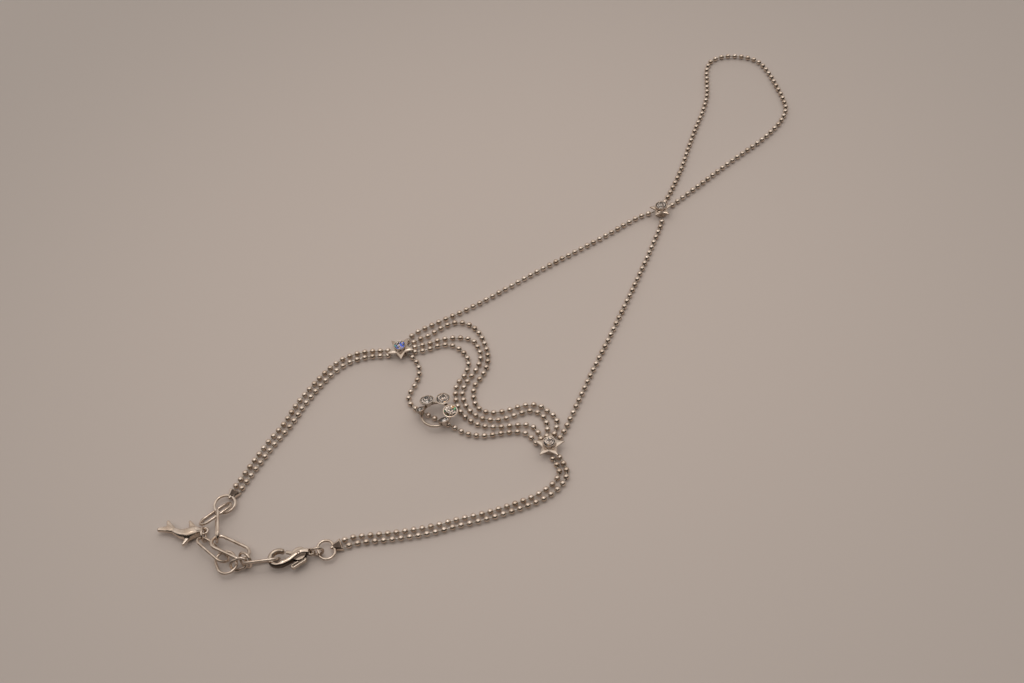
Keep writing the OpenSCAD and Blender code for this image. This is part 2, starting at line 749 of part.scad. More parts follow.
laid() left_end_cap();
laid() right_end_cap();
laid() star(left_star_at, left_star_turn, 1);  // left_star
laid() star_stone(left_star_at);  // left_star_stone
laid() star(right_star_at, right_star_turn, 1);  // right_star
laid() star_stone(right_star_at);  // right_star_stone
laid() star(finger_star_at, finger_star_turn, finger_star_scale);  // finger_star
laid() star_stone(finger_star_at);  // finger_star_stone
laid() flower_setting();
laid() flower_stone(0);  // flower_stone_1
laid() flower_stone(1);  // flower_stone_2
laid() flower_stone(2);  // flower_stone_3
laid() flower_stone(3);  // flower_stone_4
laid() flower_stone(4);  // flower_stone_5
laid() clasp_body();
laid() clasp_rivet();
laid() clasp_lever();
laid() clasp_ring();
laid() extension_link(0);  // extension_link_1
laid() extension_link(1);  // extension_link_2
laid() extension_link(2);  // extension_link_3
laid() extension_link(3);  // extension_link_4
laid() extension_link(4);  // extension_link_5
laid() extension_link(5);  // extension_link_6
laid() extension_link(6);  // extension_link_7
laid() extension_link(7);  // extension_link_8
laid() charm_ring();
laid() dolphin_charm();
laid() strand_tube("wrist_left_strand_a");  // wrist_left_strand_a
laid() strand_tube("wrist_left_strand_b");  // wrist_left_strand_b
laid() strand_tube("wrist_right_strand_a");  // wrist_right_strand_a
laid() strand_tube("wrist_right_strand_b");  // wrist_right_strand_b
laid() strand_tube("finger_loop");  // finger_loop
laid() ball_strand("front_strand_1");  // front_strand_1
laid() strand_wire("front_strand_1");  // front_strand_1_wire
laid() ball_strand("front_strand_2");  // front_strand_2
laid() strand_wire("front_strand_2");  // front_strand_2_wire
laid() ball_strand("front_strand_3");  // front_strand_3
laid() strand_wire("front_strand_3");  // front_strand_3_wire
laid() ball_strand("flower_strand");  // flower_strand
laid() strand_wire("flower_strand");  // flower_strand_wire
laid() ball_strand("hand_left_strand");  // hand_left_strand
laid() strand_wire("hand_left_strand");  // hand_left_strand_wire
laid() ball_strand("hand_right_strand");  // hand_right_strand
laid() strand_wire("hand_right_strand");  // hand_right_strand_wire
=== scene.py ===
import math

import bmesh
import bpy
import numpy as np
from mathutils import Matrix, Vector


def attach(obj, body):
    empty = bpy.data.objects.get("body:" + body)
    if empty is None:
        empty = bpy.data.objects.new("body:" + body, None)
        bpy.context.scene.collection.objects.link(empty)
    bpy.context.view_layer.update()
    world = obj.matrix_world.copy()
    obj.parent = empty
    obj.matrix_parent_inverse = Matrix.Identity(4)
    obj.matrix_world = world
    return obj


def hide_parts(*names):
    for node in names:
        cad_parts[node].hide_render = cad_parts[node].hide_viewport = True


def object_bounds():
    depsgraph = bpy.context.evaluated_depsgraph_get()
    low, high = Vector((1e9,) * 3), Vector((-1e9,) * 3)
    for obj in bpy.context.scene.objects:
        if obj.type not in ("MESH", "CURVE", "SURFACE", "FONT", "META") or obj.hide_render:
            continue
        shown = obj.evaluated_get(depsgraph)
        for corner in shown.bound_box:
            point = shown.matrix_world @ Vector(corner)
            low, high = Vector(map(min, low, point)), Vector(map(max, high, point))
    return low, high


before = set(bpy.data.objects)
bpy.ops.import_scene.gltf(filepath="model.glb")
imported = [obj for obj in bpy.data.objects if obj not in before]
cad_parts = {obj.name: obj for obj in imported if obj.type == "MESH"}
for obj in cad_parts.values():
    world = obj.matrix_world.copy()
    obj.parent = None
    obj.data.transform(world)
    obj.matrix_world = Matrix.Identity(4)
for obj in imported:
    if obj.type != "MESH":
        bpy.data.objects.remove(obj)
cad_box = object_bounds()

# Up to the floor, sizes and places are in millimetres; most are the same as in the part's source
MM = 0.001
# The layout's point that is the frame's origin
ORIGIN = (67.7, 58.7)
BALL_R = 0.55
BALL_PITCH = 1.5
BALL_Z = 0.55
# Free wire at each end of a ball strand, and of a strand that is a plain tube in the CAD
STRAND_LEAD = 1.35
TUBE_LEAD = 0.6
# A ball's heading is read over this length to each side
HEADING_SPAN = 0.2
PLATE_Z = 1.2
STAR_T = 0.5
STAR_LIP_Z = 2.5
STAR_STONE_D = 1.9
FLOWER_STONE_D = 2.2

# Routes of the strands in the layout's own coordinates
ROUTES = {
    "wrist_left_strand_a": [
        (16.5, 22.2), (20.3, 27.8), (23.5, 31.8), (26, 36), (29.2, 40), (32, 43), (35, 45.2), (39, 46.1),
    ],
    "wrist_left_strand_b": [
        (17.6, 21.5), (21.4, 27), (24.7, 31.1), (27.3, 35.3), (30.3, 39.2), (33, 42), (36, 44),
        (39.5, 44.7),
    ],
    "wrist_right_strand_a": [
        (34.6, 4.6), (37, 4.6), (41, 4.3), (45, 4.2), (49, 4.3), (53, 4.8), (57, 5.1), (61, 5.7),
        (65, 6.5), (68.5, 7.7), (71, 9.4), (72.1, 11.5),
    ],
    "wrist_right_strand_b": [
        (34.9, 3.2), (37, 3.3), (41, 3), (45, 2.9), (49, 3), (53, 3.5), (57, 3.8), (61, 4.4), (65, 5.2),
        (69, 6.4), (72, 8.4), (73.4, 11),
    ],
    "finger_loop": [
        (105.5, 77.5), (108.5, 83), (111, 88.5), (114, 94.7), (116.5, 99.5), (118.5, 104.5),
        (119.5, 109), (120.5, 113.5), (122, 116), (124.5, 117), (128, 116.4), (131, 114.6),
        (132.5, 112.4), (133.5, 108), (134, 103), (134.3, 99), (134, 96.3), (133, 94), (131, 91.4),
        (126.5, 87.5), (119, 82.6), (111, 77),
    ],
    "front_strand_1": [
        (49.7, 47), (52, 47.7), (54.3, 49), (57, 49.9), (59.5, 49.1), (61.2, 47), (62.2, 44),
        (62.6, 40.5), (62.2, 38), (61, 35.6), (59.5, 33.7), (58.9, 31), (59.4, 28.4), (61.2, 26.8),
        (64, 26.5), (68, 27.1), (70.4, 26.6), (72, 24.8), (73.2, 23), (73, 21), (72.3, 19.4),
    ],
    "front_strand_2": [
        (49.5, 45.4), (51.7, 45.6), (54, 46.1), (57, 46), (60, 44.8), (61, 42.5), (61.2, 40), (60, 37.2),
        (58.2, 34.9), (57, 32.5), (57.2, 29.6), (58.2, 27.4), (60.1, 25.6), (63, 24.7), (66, 25.2),
        (69, 25.6), (70.9, 24), (71.4, 21.5), (71, 19.6),
    ],
    "front_strand_3": [
        (49.4, 44), (51.6, 44.2), (53.7, 44.7), (56, 44.3), (58, 42.2), (58.8, 39.5), (57.9, 36.6),
        (56.2, 34.5), (55.6, 31.5), (56, 28.5), (57, 26.5), (59.2, 24.3), (62.2, 23.2), (66, 22.9),
        (68.3, 22.4), (69.4, 21), (69.8, 19.2),
    ],
    "flower_strand": [
        (48.5, 42.6), (49.3, 40.5), (49.3, 38.5), (48.5, 36.3), (47, 33.6), (47.2, 31.6), (48.6, 29.8),
        (50.9, 27.8), (54.7, 24.6), (57, 22.7), (60, 21.7), (64, 21.6), (66.8, 21.1), (68, 20),
        (68.8, 18.4),
    ],
    "hand_left_strand": [
        (48.6, 48.3), (50.6, 49.4), (53.5, 50.5), (60.5, 53.1), (67.5, 56.4), (74, 59.6), (81, 62.8),
        (89, 66.5), (97, 70.5),
    ],
    "hand_right_strand": [
        (73.3, 18.6), (74.6, 20.5), (80.5, 31), (87, 42), (94.5, 55.1), (100, 65.3), (101.3, 68),
    ],
}

LEFT_STAR = (46.3, 44.8)
RIGHT_STAR = (71.2, 16.7)
FINGER_STAR = (101.8, 71)
# Each cap: x and y of its ring's middle, the direction in which its strands leave, its ring's length and
# width
LEFT_CAP = (12.8, 15.6, 55, 4.2, 4.2)
RIGHT_CAP = (30.6, 2.75, 16, 4.3, 3.2)
# From a star's middle to the ends of the ball strands and of the plain ones
PORT_R = 1.3
FAR_PORT_R = 1.8
CAP_L = 1.2
# Distance between the middles of two strands at a cap, and the gap between a strand and its cap
CAP_GAP = 1.36
CAP_SEAT = 0.1


def turned(x, y, degrees):
    a = math.radians(degrees)
    return x * math.cos(a) - y * math.sin(a), x * math.sin(a) + y * math.cos(a)


def star_port(star, degrees, r):
    x, y = turned(r, 0, degrees)
    return star[0] + x, star[1] + y


def cap_port(cap, side):
    x, y = turned(cap[4] / 2 + CAP_L + CAP_SEAT, side * CAP_GAP / 2, cap[2])
    return cap[0] + x, cap[1] + y


def between(star_a, degrees_a, star_b, degrees_b, r=PORT_R):
    return star_port(star_a, degrees_a, r), star_port(star_b, degrees_b, r)


ENDS = {
    "wrist_left_strand_a": (cap_port(LEFT_CAP, 1), star_port(LEFT_STAR, 160, FAR_PORT_R)),
    "wrist_left_strand_b": (cap_port(LEFT_CAP, -1), star_port(LEFT_STAR, 200, FAR_PORT_R)),
    "wrist_right_strand_a": (cap_port(RIGHT_CAP, 1), star_port(RIGHT_STAR, -92, FAR_PORT_R)),
    "wrist_right_strand_b": (cap_port(RIGHT_CAP, -1), star_port(RIGHT_STAR, -52, FAR_PORT_R)),
    "finger_loop": between(FINGER_STAR, 68, FINGER_STAR, 26, FAR_PORT_R),
    "front_strand_1": between(LEFT_STAR, 37, RIGHT_STAR, 68),
    "front_strand_2": between(LEFT_STAR, 11, RIGHT_STAR, 94),
    "front_strand_3": between(LEFT_STAR, -15, RIGHT_STAR, 120),
    "flower_strand": between(LEFT_STAR, -43, RIGHT_STAR, 146),
    "hand_left_strand": between(LEFT_STAR, 63, FINGER_STAR, 165),
    "hand_right_strand": between(RIGHT_STAR, 42, FINGER_STAR, -98),
}


# Points to each stretch of a route's curve
CURVE_STEPS = 8


def curve_points(points):
    """The smooth curve of the part's source through these points."""
    p = np.array(points, float)
    gaps = np.linalg.norm(np.diff(p, axis=0), axis=1)
    slopes = np.zeros_like(p)
    slopes[0] = (p[1] - p[0]) / gaps[0]
    slopes[-1] = (p[-1] - p[-2]) / gaps[-1]
    slopes[1:-1] = (p[2:] - p[:-2]) / (gaps[1:] + gaps[:-1])[:, None]
    out = []
    for i, gap in enumerate(gaps):
        for k in range(CURVE_STEPS):
            t = k / CURVE_STEPS
            out.append(p[i] * (2 * t**3 - 3 * t**2 + 1) + p[i + 1] * (3 * t**2 - 2 * t**3)
                       + (slopes[i] * (t**3 - 2 * t**2 + t) + slopes[i + 1] * (t**3 - t**2)) * gap)
    out.append(p[-1])
    return np.array(out)


def ball_places(name, lead):
    """Middles and headings of a strand's balls, and its two ends, in the frame."""
    start, end = ENDS[name]
    c = curve_points([start, *ROUTES[name], end]) - np.array(ORIGIN)
    run = np.concatenate([[0], np.cumsum(np.linalg.norm(np.diff(c, axis=0), axis=1))])
    total = run[-1]
    count = math.floor((total - 2 * lead) / BALL_PITCH) + 1
    first = (total - (count - 1) * BALL_PITCH) / 2
    s = first + BALL_PITCH * np.arange(count)

    def at(v):
        return np.stack([np.interp(v, run, c[:, 0]), np.interp(v, run, c[:, 1])], -1)

    ahead = at(np.minimum(s + HEADING_SPAN, total)) - at(np.maximum(s - HEADING_SPAN, 0))
    return at(s), np.arctan2(ahead[:, 1], ahead[:, 0]), c[0], c[-1]


# Mesh helpers: a form is built in millimetres of the frame, and mesh_piece scales it to metres
def mesh_piece(name, verts, faces, material, body="chain", smooth=True, sharp=None):
    me = bpy.data.meshes.new(name)
    me.from_pydata((np.asarray(verts, float) * MM).tolist(), [], [tuple(f) for f in faces])
    me.validate()
    me.update()
    me.materials.append(material)
    if smooth:
        me.shade_smooth()
        if sharp is not None:
            me.set_sharp_from_angle(angle=math.radians(sharp))
    ob = bpy.data.objects.new(name, me)
    bpy.context.scene.collection.objects.link(ob)
    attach(ob, body)
    return ob


def further_material(ob, material, chosen):
    """Gives the chosen faces a further material; chosen holds a truth value for each face."""
    ob.data.materials.append(material)
    slots = [len(ob.data.materials) - 1 if wanted else face.material_index
             for face, wanted in zip(ob.data.polygons, chosen)]
    ob.data.polygons.foreach_set("material_index", slots)


def face_middles(v, f):
    return np.array([np.mean([v[i] for i in face], axis=0) for face in f])


def joined(parts):
    """One list of corners and one of faces from several (verts, faces) parts."""
    verts, faces, base = [], [], 0
    for v, f in parts:
        v = np.asarray(v, float)
        verts.append(v)
        faces.extend([tuple(i + base for i in face) for face in f])
        base += len(v)
    return np.concatenate(verts), faces


def lathe(profile, sides):
    """Corners and faces of a profile of (radius, z) turned round Z; ends on the axis are closed."""
    a = 2 * np.pi * np.arange(sides) / sides
    verts, rows = [], []
    for r, z in profile:
        if r == 0:
            rows.append([len(verts)] * sides)
            verts.append((0, 0, z))
        else:
            rows.append(list(range(len(verts), len(verts) + sides)))
            verts.extend((r * c, r * s, z) for c, s in zip(np.cos(a), np.sin(a)))
    faces = []
    for low, high in zip(rows, rows[1:]):
        for k in range(sides):
            f = [low[k], low[(k + 1) % sides], high[(k + 1) % sides], high[k]]
            f = [v for i, v in enumerate(f) if v != f[i - 1]]
            if len(f) > 2:
                faces.append(tuple(f))
    return np.array(verts), faces


def sweep(path, radius, sides, closed=False):
    """A round tube along a path of points that never runs straight up."""
    p = np.asarray(path, float)
    n = len(p)
    if closed:
        d = np.roll(p, -1, 0) - np.roll(p, 1, 0)
    else:
        d = np.gradient(p, axis=0)
    d /= np.linalg.norm(d, axis=1)[:, None]
    side = np.cross((0, 0, 1), d)
    side /= np.linalg.norm(side, axis=1)[:, None]
    top = np.cross(d, side)
    a = 2 * np.pi * np.arange(sides) / sides
    ring = np.cos(a)[None, :, None] * side[:, None, :] + np.sin(a)[None, :, None] * top[:, None, :]
    verts = (p[:, None, :] + radius * ring).reshape(-1, 3)
    faces = []
    for i in range(n if closed else n - 1):
        j = (i + 1) % n
        for k in range(sides):
            m = (k + 1) % sides
            faces.append((i * sides + k, i * sides + m, j * sides + m, j * sides + k))
    if not closed:
        faces.append(tuple(range(sides - 1, -1, -1)))
        faces.append(tuple((n - 1) * sides + k for k in range(sides)))
    return verts, faces


def ring_path(r, z, steps):
    a = np.linspace(0, 2 * math.pi, steps, endpoint=False)
    return np.stack([r * np.cos(a), r * np.sin(a), np.full(steps, z)], -1)


def moved(part, matrix):
    v, f = part
    v = np.asarray(v, float)
    m = np.array(matrix)
    return v @ m[:3, :3].T + m[:3, 3], f


def rot(degrees, axis):
    return Matrix.Rotation(math.radians(degrees), 4, axis)


def placed(x, y, z, roll=0, pitch=0, turn=0):
    """A piece's place from the layout's coordinates, with the turns in the order of the part's source."""
    move = Matrix.Translation((x - ORIGIN[0], y - ORIGIN[1], z))
    return move @ rot(turn, "Z") @ rot(pitch, "Y") @ rot(roll, "X")


# Solid forms from distance fields, which are below zero inside the form
def smooth_union(a, b, k):
    h = np.clip(0.5 + 0.5 * (b - a) / k, 0, 1)
    return b + (a - b) * h - k * h * (1 - h)


def smooth_cut(a, b, k):
    return -smooth_union(-a, b, k)


def disc_2d(x, y, middle, r):
    return np.hypot(x - middle[0], y - middle[1]) - r


def bar_2d(x, y, a, b, ra, rb=None):
    """A bar with round ends between two points, of half width ra at the first and rb at the second."""
    rb = ra if rb is None else rb
    ex, ey = b[0] - a[0], b[1] - a[1]
    t = np.clip(((x - a[0]) * ex + (y - a[1]) * ey) / (ex * ex + ey * ey), 0, 1)
    return np.hypot(x - a[0] - t * ex, y - a[1] - t * ey) - (ra + t * (rb - ra))


def capsule(x, y, z, a, b, r):
    e = np.subtract(b, a)
    t = np.clip(((x - a[0]) * e[0] + (y - a[1]) * e[1] + (z - a[2]) * e[2]) / (e @ e), 0, 1)
    d = (x - a[0] - t * e[0]) ** 2 + (y - a[1] - t * e[1]) ** 2 + (z - a[2] - t * e[2]) ** 2
    return np.sqrt(d) - r


def polygon_2d(x, y, corners):
    best = np.full(x.shape, np.inf)
    sign = np.ones(x.shape)
    n = len(corners)
    for i in range(n):
        ax, ay = corners[i]
        bx, by = corners[i - 1]
        ex, ey = bx - ax, by - ay
        wx, wy = x - ax, y - ay
        t = np.clip((wx * ex + wy * ey) / (ex * ex + ey * ey), 0, 1)
        best = np.minimum(best, (wx - ex * t) ** 2 + (wy - ey * t) ** 2)
        c = np.stack([y >= ay, y < by, ex * wy > ey * wx])
        sign = np.where(c.all(0) | (~c).all(0), -sign, sign)
    return sign * np.sqrt(best)


def plate(flat, z, half, edge):
    """A plan thickened to both sides of z = 0, with its edges rounded."""
    a, b = flat + edge, np.abs(z) - (half - edge)
    return np.minimum(np.maximum(a, b), 0) + np.hypot(np.maximum(a, 0), np.maximum(b, 0)) - edge


# Length over which a field's slope is read, and the least square of the slope that counts
NEAR = 1e-3
LEAST_SLOPE = 0.2
# How often a corner is moved on to the surface, and how far at once as a share of a cell
MOVES = 4
MOVE_LIMIT = 0.6


def grid_step(fine):
    return fine


def crossings(v, step, low):
    """Cells of the grid that the zero surface passes through, and the middle of its crossings in each."""
    inside = v < 0
    shape = np.array(v.shape) - 1
    total = np.zeros((*shape, 3))
    count = np.zeros(shape)
    for axis in range(3):
        first, second = [a for a in range(3) if a != axis]
        for o1, o2 in ((0, 0), (0, 1), (1, 0), (1, 1)):
            offset = np.zeros(3, int)
            offset[first], offset[second] = o1, o2
            lo = tuple(slice(o, o + n) for o, n in zip(offset, shape))
            offset[axis] = 1
            hi = tuple(slice(o, o + n) for o, n in zip(offset, shape))
            offset[axis] = 0
            cross = inside[lo] != inside[hi]
            t = np.where(cross, v[lo] / np.where(cross, v[lo] - v[hi], 1), 0)
            point = np.zeros((*shape, 3)) + offset
            point[..., axis] += t
            total += point * cross[..., None]
            count += cross
    active = count > 0
    return active, np.array(low) + step * (np.argwhere(active) + total[active] / count[active][:, None])


def surface(field, low, high, step):
    """Corners and faces of the field's zero surface inside the box, by surface nets."""
    axes = [np.arange(low[i], high[i] + step, step) for i in range(3)]
    v = field(*np.meshgrid(*axes, indexing="ij"))
    active, p = crossings(v, step, low)
    index = np.full(active.shape, -1)
    index[active] = np.arange(active.sum())
    moves = NEAR * np.eye(3)
    for _ in range(MOVES):
        slope = np.stack([(field(*(p + m).T) - field(*(p - m).T)) / (2 * NEAR) for m in moves], -1)
        size = np.maximum((slope ** 2).sum(-1), LEAST_SLOPE)
        p = p - np.clip(field(*p.T) / size, -MOVE_LIMIT * step, MOVE_LIMIT * step)[:, None] * slope
    inside = v < 0
    faces = []
    for axis in range(3):
        b, c = (axis + 1) % 3, (axis + 2) % 3
        lo = [slice(None)] * 3
        hi = [slice(None)] * 3
        lo[axis], hi[axis] = slice(0, -1), slice(1, None)
        at = np.argwhere(inside[tuple(lo)] != inside[tuple(hi)])
        for other in (b, c):
            at = at[(at[:, other] > 0) & (at[:, other] < index.shape[other])]
        quads = []
        for db, dc in ((1, 1), (0, 1), (0, 0), (1, 0)):
            q = at.copy()
            q[:, b] -= db
            q[:, c] -= dc
            quads.append(index[tuple(q.T)])
        quads = np.stack(quads, -1)
        flip = ~inside[tuple(at.T)]
        quads[flip] = quads[flip][:, ::-1]
        faces.append(quads)
    faces = np.concatenate(faces)
    return p, faces[(faces >= 0).all(1)].tolist()


# Materials
def set_inputs(node, values):
    for name, value in values.items():
        node.inputs[name].default_value = value


def new_node(tree, kind, values=None):
    node = tree.nodes.new("ShaderNode" + kind)
    set_inputs(node, values or {})
    return node


def new_material(name):
    m = bpy.data.materials.new(name)
    m.use_nodes = True
    return m, m.node_tree, m.node_tree.nodes["Principled BSDF"]


def clouds(t, bsdf, scale, stops, colours, detail=2.0):
    """Soft clouds of two colours on the base colour; gives the place and the clouds for further use."""
    place = new_node(t, "TexCoord")
    cloud = new_node(t, "TexNoise", {"Scale": scale, "Detail": detail})
    t.links.new(place.outputs["Object"], cloud.inputs["Vector"])
    ramp = new_node(t, "ValToRGB")
    for element, stop, colour in zip(ramp.color_ramp.elements, stops, colours):
        element.position = stop
        element.color = (*colour, 1)
    t.links.new(cloud.outputs["Fac"], ramp.inputs["Fac"])
    t.links.new(ramp.outputs["Color"], bsdf.inputs["Base Color"])
    return place.outputs["Object"], cloud.outputs["Fac"]


# Roughness of tarnished and of polished patches as shares of a metal's own
TARNISH_ROUGHER = 1.5
POLISH_SMOOTHER = 0.7
# Scratches: their stretch and turn, how much finer than the clouds they are, and their depth in metres
SCRATCH_STRETCH = (1.0, 3.0, 1.0)
SCRATCH_TURN = (0.3, 0.2, 0.7)
SCRATCH_FINER = 9
SCRATCH_DEPTH = 0.02 * MM


def metal(name, colour, rough, tarnish, scratch, scale):
    """Polished silver: fine scratches, cloudy roughness and a warmer tarnish in its patches."""
    m, t, bsdf = new_material(name)
    set_inputs(bsdf, {"Metallic": 1.0})
    place, cloud = clouds(t, bsdf, scale, (0.35, 0.6), (tarnish, colour), 3.0)
    roughness = {"To Min": rough * TARNISH_ROUGHER, "To Max": rough * POLISH_SMOOTHER}
    spread = new_node(t, "MapRange", {"From Min": 0.3, "From Max": 0.7, **roughness})
    t.links.new(cloud, spread.inputs["Value"])
    t.links.new(spread.outputs["Result"], bsdf.inputs["Roughness"])
    stretch = new_node(t, "Mapping", {"Scale": SCRATCH_STRETCH, "Rotation": SCRATCH_TURN})
    t.links.new(place, stretch.inputs["Vector"])
    fine = new_node(t, "TexNoise", {"Scale": scale * SCRATCH_FINER, "Detail": 2.0})
    t.links.new(stretch.outputs["Vector"], fine.inputs["Vector"])
    bump = new_node(t, "Bump", {"Strength": scratch, "Distance": SCRATCH_DEPTH})
    t.links.new(fine.outputs["Fac"], bump.inputs["Height"])
    t.links.new(bump.outputs["Normal"], bsdf.inputs["Normal"])
    return m


def dimmed(colour, share):
    return tuple(share * c for c in colour)


def crystal(name, tint, ior):
    """Clear glass for a stone's crown, with faint clouds so that no two facets are quite alike."""
    m, t, bsdf = new_material(name)
    set_inputs(bsdf, {"IOR": ior, "Transmission Weight": 1.0, "Roughness": 0.0})
    clouds(t, bsdf, 1400.0, (0.3, 0.6), (dimmed(tint, 0.93), tint))
    return m


def foil(name, colour, painted_glint_glow=0.0):
    """A mirror coat on a stone's back, darker in small patches; a dark colour makes it a painted dark
    reflection, and painted_glint_glow makes it glow as a painted glint of colour.
    """
    m, t, bsdf = new_material(name)
    set_inputs(bsdf, {"Metallic": 1.0, "Roughness": 0.03})
    set_inputs(bsdf, {"Emission Color": (*colour, 1), "Emission Strength": painted_glint_glow})
    clouds(t, bsdf, 2200.0, (0.3, 0.55), (dimmed(colour, 0.8), colour))
    return m


SILVER = (0.77, 0.665, 0.575)
DULL = (0.6, 0.485, 0.39)
DULLER = (0.53, 0.43, 0.35)
beads_metal = metal("bead_silver", SILVER, 0.14, DULL, 0.2, 420)
cast_metal = metal("cast_silver", SILVER, 0.13, DULL, 0.25, 500)
link_metal = metal("link_silver", (0.7, 0.6, 0.515), 0.13, DULLER, 0.2, 600)
star_metal = metal("star_silver", (0.68, 0.59, 0.51), 0.15, DULLER, 0.25, 500)
charm_metal = metal("charm_silver", SILVER, 0.2, DULL, 0.25, 500)
# A darker, rougher silver, used on the flower's ring, parts of the clasp and the lever
dull_metal = metal("dull_silver", (0.6, 0.51, 0.43), 0.2, (0.45, 0.37, 0.3), 0.3, 500)
groove_metal = metal("grooved_silver", (0.33, 0.27, 0.22), 0.3, (0.22, 0.18, 0.15), 0.3, 900)
# Near-black silver that paints shade and dark reflections, on the end caps' dark sheet and the clasp's
# dark flank
painted_shade_metal = metal("painted_shade_silver", (0.13, 0.1, 0.08), 0.3, (0.08, 0.06, 0.05), 0.3, 900)
string_metal = metal("string_wire", (0.6, 0.56, 0.5), 0.25, (0.4, 0.36, 0.3), 0.2, 900)
crown_glass = crystal("stone_crown", (0.99, 0.985, 0.98), 1.75)
light_foil = foil("stone_foil_light", (0.98, 0.92, 0.87))
# Painted dark reflections: back facets in a dark colour
painted_dark_facet = foil("stone_painted_dark_reflection", (0.24, 0.19, 0.165))
# Painted glints: facets that glow in a colour, standing in for the stone's fire
painted_blue_glint = foil("stone_painted_glint_blue", (0.01, 0.12, 1.0), 0.7)
painted_green_glint = foil("stone_painted_glint_green", (0.2, 1.0, 0.4), 0.35)
painted_orange_glint = foil("stone_painted_glint_orange", (1.0, 0.55, 0.15), 0.35)


# Sides of a turned form and of a thin wire
ROUND_SIDES = 48
THIN_SIDES = 8

# Strands: every ball is drilled and rimmed, and a short wire joins it to the next
HOLE_R = 0.2
HOLE_RIM = 0.045
# The hole's wall starts this far under its rim, and this far under it the drawn wall ends
HOLE_STEP = 0.02
HOLE_DEPTH = 0.2
STRING_R = 0.12
# A wire between two balls starts and ends this far from their middles, out of sight in the holes
STRING_START = 0.25


def ball_form():
    edge = math.asin((HOLE_R + HOLE_RIM) / BALL_R)
    steps = 10
    angles = [edge + (math.pi - 2 * edge) * k / steps for k in range(steps + 1)]
    end = BALL_R * math.cos(edge)
    rows = [(HOLE_R, HOLE_DEPTH - end), (HOLE_R, HOLE_STEP - end)]
    rows += [(BALL_R * math.sin(a), -BALL_R * math.cos(a)) for a in angles]
    rows += [(HOLE_R, end - HOLE_STEP), (HOLE_R, end - HOLE_DEPTH)]
    v, f = lathe(rows, 20)
    return v[:, [2, 0, 1]], f


BALL = ball_form()


def strand(name, replaced, lead):
    at, heading, start, end = ball_places(name, lead)
    low, high = np.array(cad_box)[:, :2] / MM
    at = np.clip(at, low + BALL_R, high - BALL_R)
    balls = [moved(BALL, Matrix.Translation((x, y, BALL_Z)) @ Matrix.Rotation(h, 4, "Z"))
             for (x, y), h in zip(at, heading)]
    line = [np.array([x, y, BALL_Z]) for x, y in [start, *at, end]]
    wires = []
    for k, (a, b) in enumerate(zip(line, line[1:])):
        u = (b - a) / np.linalg.norm(b - a)
        inner_a = a if k == 0 else a + STRING_START * u
        inner_b = b if k == len(line) - 2 else b - STRING_START * u
        wires.append(sweep([inner_a, inner_b], STRING_R, THIN_SIDES))
    ob = mesh_piece(name + "_balls", *joined(balls + wires), beads_metal, sharp=50)
    first_wire = len(balls) * len(BALL[1])
    further_material(ob, string_metal, [k >= first_wire for k in range(len(ob.data.polygons))])
    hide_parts(*replaced)


# The wrist's strands and the finger loop are plain tubes in the CAD; the others have a wire node each
for name in ROUTES:
    if name.startswith("wrist") or name == "finger_loop":
        strand(name, [name], TUBE_LEAD)
    else:
        strand(name, [name, name + "_wire"], STRAND_LEAD)


# Cut stones: heights as shares of a stone's width, and radii as shares of its radius
GIRDLE_H = 0.04
CROWN_H = 0.16
TABLE_R = 0.56
STAR_FACET_H = 0.085
STAR_FACET_R = 0.79
UNDER_DEPTH = 0.24
UNDER_R = 0.45
POINT_DEPTH = 0.43
# A cup's room beside its stone, and how far the stone's girdle sits under the cup's lip
STONE_ROOM = 0.05
STONE_SINK = 0.05
# Radius of the flat floor in a cup
CUP_FLOOR_R = 0.05


def brilliant(d):
    """A round brilliant with eight mains: its corners, its facets and the ring of each facet.

    The ring is 0 for the crown, 1 for the lower girdle's facets, 2 for the mains and 3 round the point.
    """
    r = d / 2
    girdle = GIRDLE_H * d

    def ring(n, radius, z, shift):
        angles = [2 * math.pi * (k + shift) / n for k in range(n)]
        return [(radius * math.cos(a), radius * math.sin(a), z) for a in angles]

    verts = ring(8, TABLE_R * r, girdle + CROWN_H * d, 0)
    verts += ring(8, STAR_FACET_R * r, girdle + STAR_FACET_H * d, 0.5)
    verts += ring(16, r, girdle, 0) + ring(16, r, 0, 0)
    verts += ring(8, UNDER_R * r, -UNDER_DEPTH * d, 0) + [(0, 0, -POINT_DEPTH * d)]
    table, star, edge, low, under, point = 0, 8, 16, 32, 48, 56
    faces, rings = [tuple(range(8))], [0]

    def add(rank, *rows):
        faces.extend(rows)
        rings.extend([rank] * len(rows))

    for k in range(8):
        n = (k + 1) % 8
        a, b, c = 2 * k, 2 * k + 1, (2 * k + 2) % 16
        add(0, (table + k, star + k, table + n), (table + k, star + (k - 1) % 8, edge + a, star + k))
        add(0, (edge + a, edge + b, star + k), (edge + b, edge + c, star + k))
        add(0, (edge + a, low + a, low + b, edge + b), (edge + b, low + b, low + c, edge + c))
        add(1, (low + a, under + k, low + b), (low + b, under + n, low + c))
        add(2, (low + b, under + k, under + n))
        add(3, (under + k, point, under + n))
    return np.array(verts), faces, rings


def fix_normals(ob):
    bm = bmesh.new()
    bm.from_mesh(ob.data)
    bmesh.ops.recalc_face_normals(bm, faces=bm.faces)
    bm.to_mesh(ob.data)
    bm.free()


